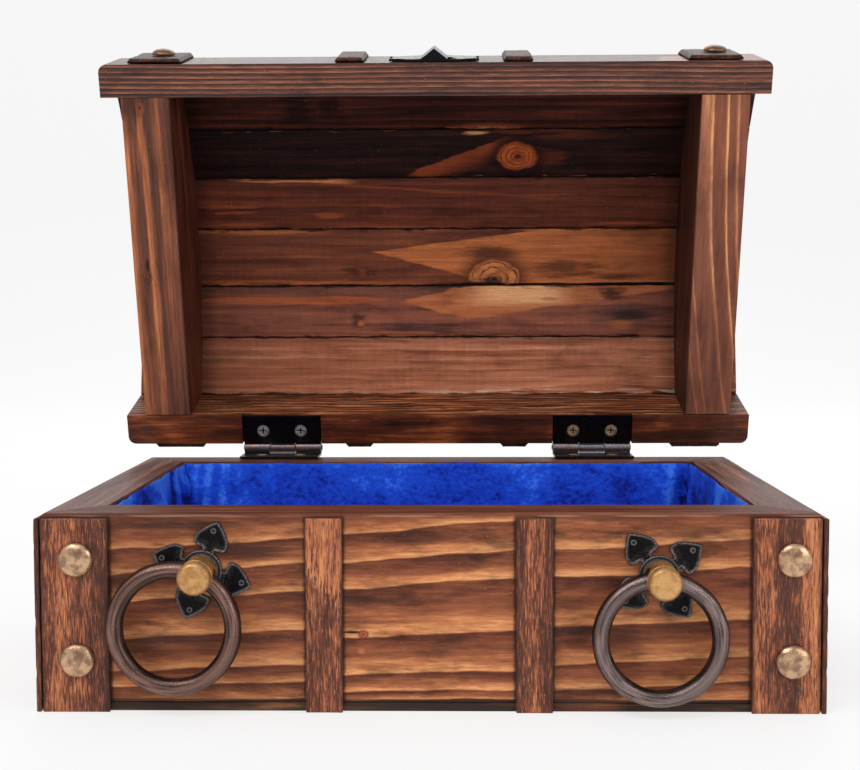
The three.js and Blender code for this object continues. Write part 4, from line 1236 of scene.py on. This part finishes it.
def make_ring(side, metal, drop, seam):
    """Hand-bent round bar with slight flats and a forging seam, deepest on the left one."""
    put = on_front(*HANDLE_PLACES[side], HANDLE_TURNS[side], HANDLE_BACK)
    rings, wear_and_light = [], []
    for a in angles_round(132):
        flat = 0.05 * math.sin(5 * a + seam) + 0.04 * math.sin(11 * a)
        ring = []
        for b in angles_round(26):
            crease = math.exp(-((b - 1.9) / 0.16) ** 2) * seam * (0.6 + 0.4 * math.cos(a - 2.4))
            reach = RING_BAR_RADIUS - 0.1 + flat - 0.30 * max(0.0, crease)
            reach += 0.05 * rough((a * 7, b * 3, 0), 5 + seam, 1.0)
            out = RING_RADIUS + reach * math.cos(b)
            ring.append(put(out * math.cos(a), -drop + out * math.sin(a),
                            POST_HOLE_OUT + reach * math.sin(b)))
            # Painted light: 1 on the side of the bar that faces out from the board, where its finish
            # paints a glint and from which it darkens the rest.
            wear_and_light.append(max(0.0, math.exp(-((b - 1.45) / 0.75) ** 2) - crease))
        rings.append(ring)
    points, faces = tube(rings, looped=True)
    shown(f"bent_ring_{side}", points, faces, metal, wear_and_light, f"pull_ring_{side}",
          sharp=180)


def make_nail(node, radius, put, metal, seed):
    """A domed nail head, beaten a little out of true."""
    around, steps = angles_round(56), 14
    skirt = radius * 0.98
    rings = [[put(skirt * math.cos(b), skirt * math.sin(b), 0.2) for b in around]]
    wear_and_light = [0.9] * len(around)
    for step in range(steps + 1):
        a = step / steps * math.pi / 2
        reach = radius * math.cos(a)
        ring = []
        for b in around:
            x, y = reach * math.cos(b), reach * math.sin(b)
            dent = 0.14 * rough((x, y, 0), seed, 2.6) + 0.05 * rough((x, y, 0), seed + 2, 1.0)
            ring.append(put(x, y, 0.35 + (2.55 + dent) * math.sin(a)))
        wear_and_light += [0.8 if step < 2 else 0.0] * len(around)
        rings.append(ring)
    points, faces = loft(rings)
    shown(f"{node}_head", points, faces, metal, wear_and_light, node, sharp=70)


def make_nails(metal, lid_metal):
    seed = 0
    for side in SIDES:
        for level in ("upper", "lower"):
            node = f"front_nail_{side}_{level}"
            low, high = node_box(node)
            centre, seed = (low + high) / 2, seed + 5
            put = on_front(centre.x, centre.z, 37 * seed, -BODY_DEPTH / 2)
            make_nail(node, 6.35, put, metal, seed)
        node, seed = f"lid_nail_{side}", seed + 5
        across = LID_NAIL_X[side]
        face = -BODY_DEPTH / 2 - 0.4 - LID_STRAP_THICKNESS
        make_nail(node, 5.35, lambda a, b, h: from_lid((across + a, face - h, LID_RIM_Z + 16 + b)),
                  lid_metal, seed)


def ring_middle(side):
    """The middle of a ring seen from the front, as (x, z)."""
    low, high = node_box(f"pull_ring_{side}")
    return (low.x + high.x) / 2, (low.z + high.z) / 2


def make_handles():
    iron = black_iron()
    posts = brass("post_brass", (214, 166, 108), (184, 134, 82), (104, 68, 40), 0.3)
    bronze = ring_metal("bronzed_iron", (80, 63, 60), (146, 110, 96), (66, 54, 54),
                        ring_middle("left"))
    grey = ring_metal("greyed_iron", (78, 65, 64), (150, 128, 123), (64, 54, 55),
                      ring_middle("right"))
    for side, metal, seam in (("left", bronze, 1.0), ("right", grey, 0.35)):
        make_plate(side, iron)
        drop = make_post(side, posts)
        make_ring(side, metal, drop, seam)
    nails = brass("nail_brass", (210, 170, 134), (146, 112, 92), (104, 78, 64), 0.16, 0.05)
    # The lid's nails get a darker copy of the nail brass.
    darker_brass = brass("dark_lid_brass", (150, 112, 84), (112, 80, 60), (60, 42, 36), 0.3)
    make_nails(nails, darker_brass)
    keep("lid_front_ornament", iron, 0.35, 3, 30)


# ---------- velvet lining ----------

def lining_path():
    """Points round the inside of the walls with the way into the chest, corners rounded."""
    low, high = node_box("velvet_lining")
    corners = [(low.x, low.y), (high.x, low.y), (high.x, high.y), (low.x, high.y)]
    return [(point, -normal) for point, normal, _ in rounded_section(corners, 4.0, 1.5, 6)]


def fold(value, centre, width, depth):
    return depth * math.exp(-((value - centre) / width) ** 2)


# Along y, for the right end and then the left: (centre, width, depth or paleness).
END_FOLDS = (((58, 3.0, 1.7), (33, 7, 1.2), (-8, 6, 1.8), (-50, 9, 1.2)),
             ((64, 3.4, 2.0), (46, 3.6, 1.6), (18, 8, 2.2), (-62, 16, 1.8)))
END_PATCHES = (((70, 6, -0.5), (42, 14, -0.3), (18, 9, -0.6), (-9, 6, 0.7), (-34, 12, -0.2),
                (-70, 14, 0.4)),
               ((-66, 26, 0.8), (-19, 13, -1.0), (14, 13, 0.7), (38, 4, -1.1), (52, 6, 0.3),
                (66, 3, -0.9)))


def wall_bulge(point, z):
    """How far the velvet stands off the wall: slack folds near the corners, small pulls."""
    x, y = point
    bulge = 1.0 + 0.7 * (0.5 + rough((x, y, z / 2.4), 3, 26)) + 0.3 * rough((x, y, z), 4, 7)
    lean = (z - 70) * 0.10
    if y > 60:
        for centre, width, depth in ((-116, 3.0, 3.4), (-108.5, 2.4, 3.0), (-101, 2.6, 2.2),
                                     (-92, 5, 0.8), (112, 2.6, 2.4), (104, 5, 1.2),
                                     (46, 9, 0.9), (-20, 12, 0.7)):
            bulge += fold(x, centre + lean, width, depth)
    if abs(x) > 115:
        uneven = 1.0 + 1.1 * rough((x, y / 3, z), 21, 13)
        for centre, width, depth in END_FOLDS[x < 0]:
            bulge += fold(y, centre + 2.5 * lean, width, depth * max(0.1, uneven))
        bulge += 0.8 * rough((x, y, z / 1.6), 6, 8)
    return max(0.4, bulge)


def pile_lie_and_fold_light(point, z, share):
    """How pale the pile lies: painted light on the fold ridges and painted shade in the valleys, and
    the pale and dark patches of the ends.
    """
    # Painted light and shade: paler on the fold ridges, darker in the valleys between.
    ridge = min(1.0, max(0.0, (wall_bulge(point, z) - 1.1) / 3.0) + 0.3 * share ** 12)
    if abs(point.x) < 115:
        return ridge
    shift = (z - 70) * 0.25 + 5 * rough((point.x, point.y, z), 16, 9)
    lie = -0.15 + 0.5 * rough((point.x, point.y / 1.5, z), 17, 4)
    for centre, width, amount in END_PATCHES[point.x < 0]:
        lie += fold(point.y, centre + shift, width, amount)
    return lie + 0.25 * ridge + 0.8 * fold(share, 1.0, 0.14, 1.0)


def make_walls(cloth):
    low, high = node_box("velvet_lining")
    levels = spaced(low.z + 1.8, high.z, 1.5)
    rings, lie = [], []
    for level in levels:
        share = (level - levels[0]) / (levels[-1] - levels[0])
        ring = []
        for point, inward in lining_path():
            flat = (point.x, point.y, 0)
            top = (1.7 if point.y > 60 else 1.5) + 0.45 * rough(flat, 9, 9) + 0.25 * rough(flat, 8, 2)
            z = level + share ** 3 * top
            off = wall_bulge(point, z) * (0.35 + 0.65 * min(1, (1 - share) * 6))
            spot = point + inward * (off + 0.5)
            ring.append((spot.x, spot.y, z))
            # Pile paleness, with painted light and shade on the folds.
            lie.append(pile_lie_and_fold_light(point, z, share))
        rings.append(ring)
    points, faces = tube(rings)
    walls = shown("velvet_walls", points, faces, cloth, lie, "velvet_lining", sharp=180)
    thicken(walls, 0.8)


def make_floor(cloth):
    low, high = node_box("velvet_lining")
    rows = spaced(low.y + 1.2, high.y - 1.2, 2.6)
    columns = spaced(low.x + 1.2, high.x - 1.2, 2.6)
    points, faces = [], []
    for y in rows:
        for x in columns:
            wave = rough((x, y, 0), 12, 30) + 0.5 * rough((x, y, 0), 13, 9)
            points.append((x, y, low.z + 1.5 + 0.5 * wave))
    width = len(columns)
    for i in range(len(rows) - 1):
        for a in range(i * width, (i + 1) * width - 1):
            faces.append((a, a + 1, a + width + 1, a + width))
    floor = shown("velvet_floor", points, faces, cloth, [0.4] * len(points), sharp=180)
    thicken(floor, 0.8)
    size = ((columns[-1] - columns[0]) * MM, (rows[-1] - rows[0]) * MM)


def thicken(piece, thickness):
    cloth = piece.modifiers.new("cloth", "SOLIDIFY")
    cloth.thickness = thickness * MM
    cloth.offset = 0


# ---------- studio ----------

def make_stage():
    """A pale seamless sweep: floor, curve and wall in one sheet."""
    g = Graph("pale_sweep")
    diffuse = g.output("ShaderNodeBsdfDiffuse", {"Color": (0.30, 0.30, 0.30, 1)})
    glow = g.output("ShaderNodeEmission", {"Color": (1, 1, 1, 1), "Strength": 0.68})
    g.node("ShaderNodeOutputMaterial", (g.output("ShaderNodeAddShader", (diffuse, glow)),))
    half, front, bend, radius, top = 3.0, -2.5, 1.4, 0.9, 3.0
    outline = [(front, 0.0), (bend, 0.0)]
    outline += [(bend + radius * math.sin(a), radius - radius * math.cos(a))
                for a in (math.pi / 2 * i / 16 for i in range(1, 17))]
    outline.append((bend + radius, top))
    points = [(x, y, z) for y, z in outline for x in (-half, half)]
    faces = [(2 * i, 2 * i + 1, 2 * i + 3, 2 * i + 2) for i in range(len(outline) - 1)]
    mesh = mesh_of("sweep", points, faces, 1.0)
    smooth(mesh)
    mesh.materials.append(g.material)
    linked("sweep", mesh)


def soft_light(name, place, aim, size, power):
    data = bpy.data.lights.new(name, "AREA")
    data.shape = "RECTANGLE"
    data.size, data.size_y = size
    data.energy = power
    light = linked(name, data)
    light.location = place
    light.rotation_euler = (Vector(aim) - Vector(place)).to_track_quat("-Z", "Y").to_euler()


def make_light():
    world = bpy.data.worlds.new("studio")
    world.use_nodes = True
    background = world.node_tree.nodes["Background"]
    background.inputs["Color"].default_value = (1, 1, 1, 1)
    background.inputs["Strength"].default_value = 0.6
    bpy.context.scene.world = world
    soft_light("key", (-0.7, -1.1, 1.5), (0, 0, 0.08), (1.3, 0.9), 14)
    soft_light("fill", (1.2, -1.0, 0.7), (0, 0, 0.08), (0.9, 0.9), 6)
    soft_light("back", (0.1, 1.3, 1.2), (0, 0, 0.1), (1.4, 0.6), 7)
    bpy.context.scene.view_settings.view_transform = "Standard"


def make_camera():
    data = bpy.data.cameras.new("camera")
    data.lens = 57.27
    data.sensor_width = 36
    camera = linked("camera", data)
    camera.location = (0.01086, -0.5816, 0.1505)
    camera.rotation_euler = Euler((math.radians(86.415), math.radians(0.186), math.radians(1.188)))
    bpy.context.scene.camera = camera


make_camera()
make_stage()
make_light()
dress_boards()
dress_hinges()
make_body_straps()
make_staves()
make_lid_straps()
make_handles()
lining = velvet()
make_walls(lining)
make_floor(lining)
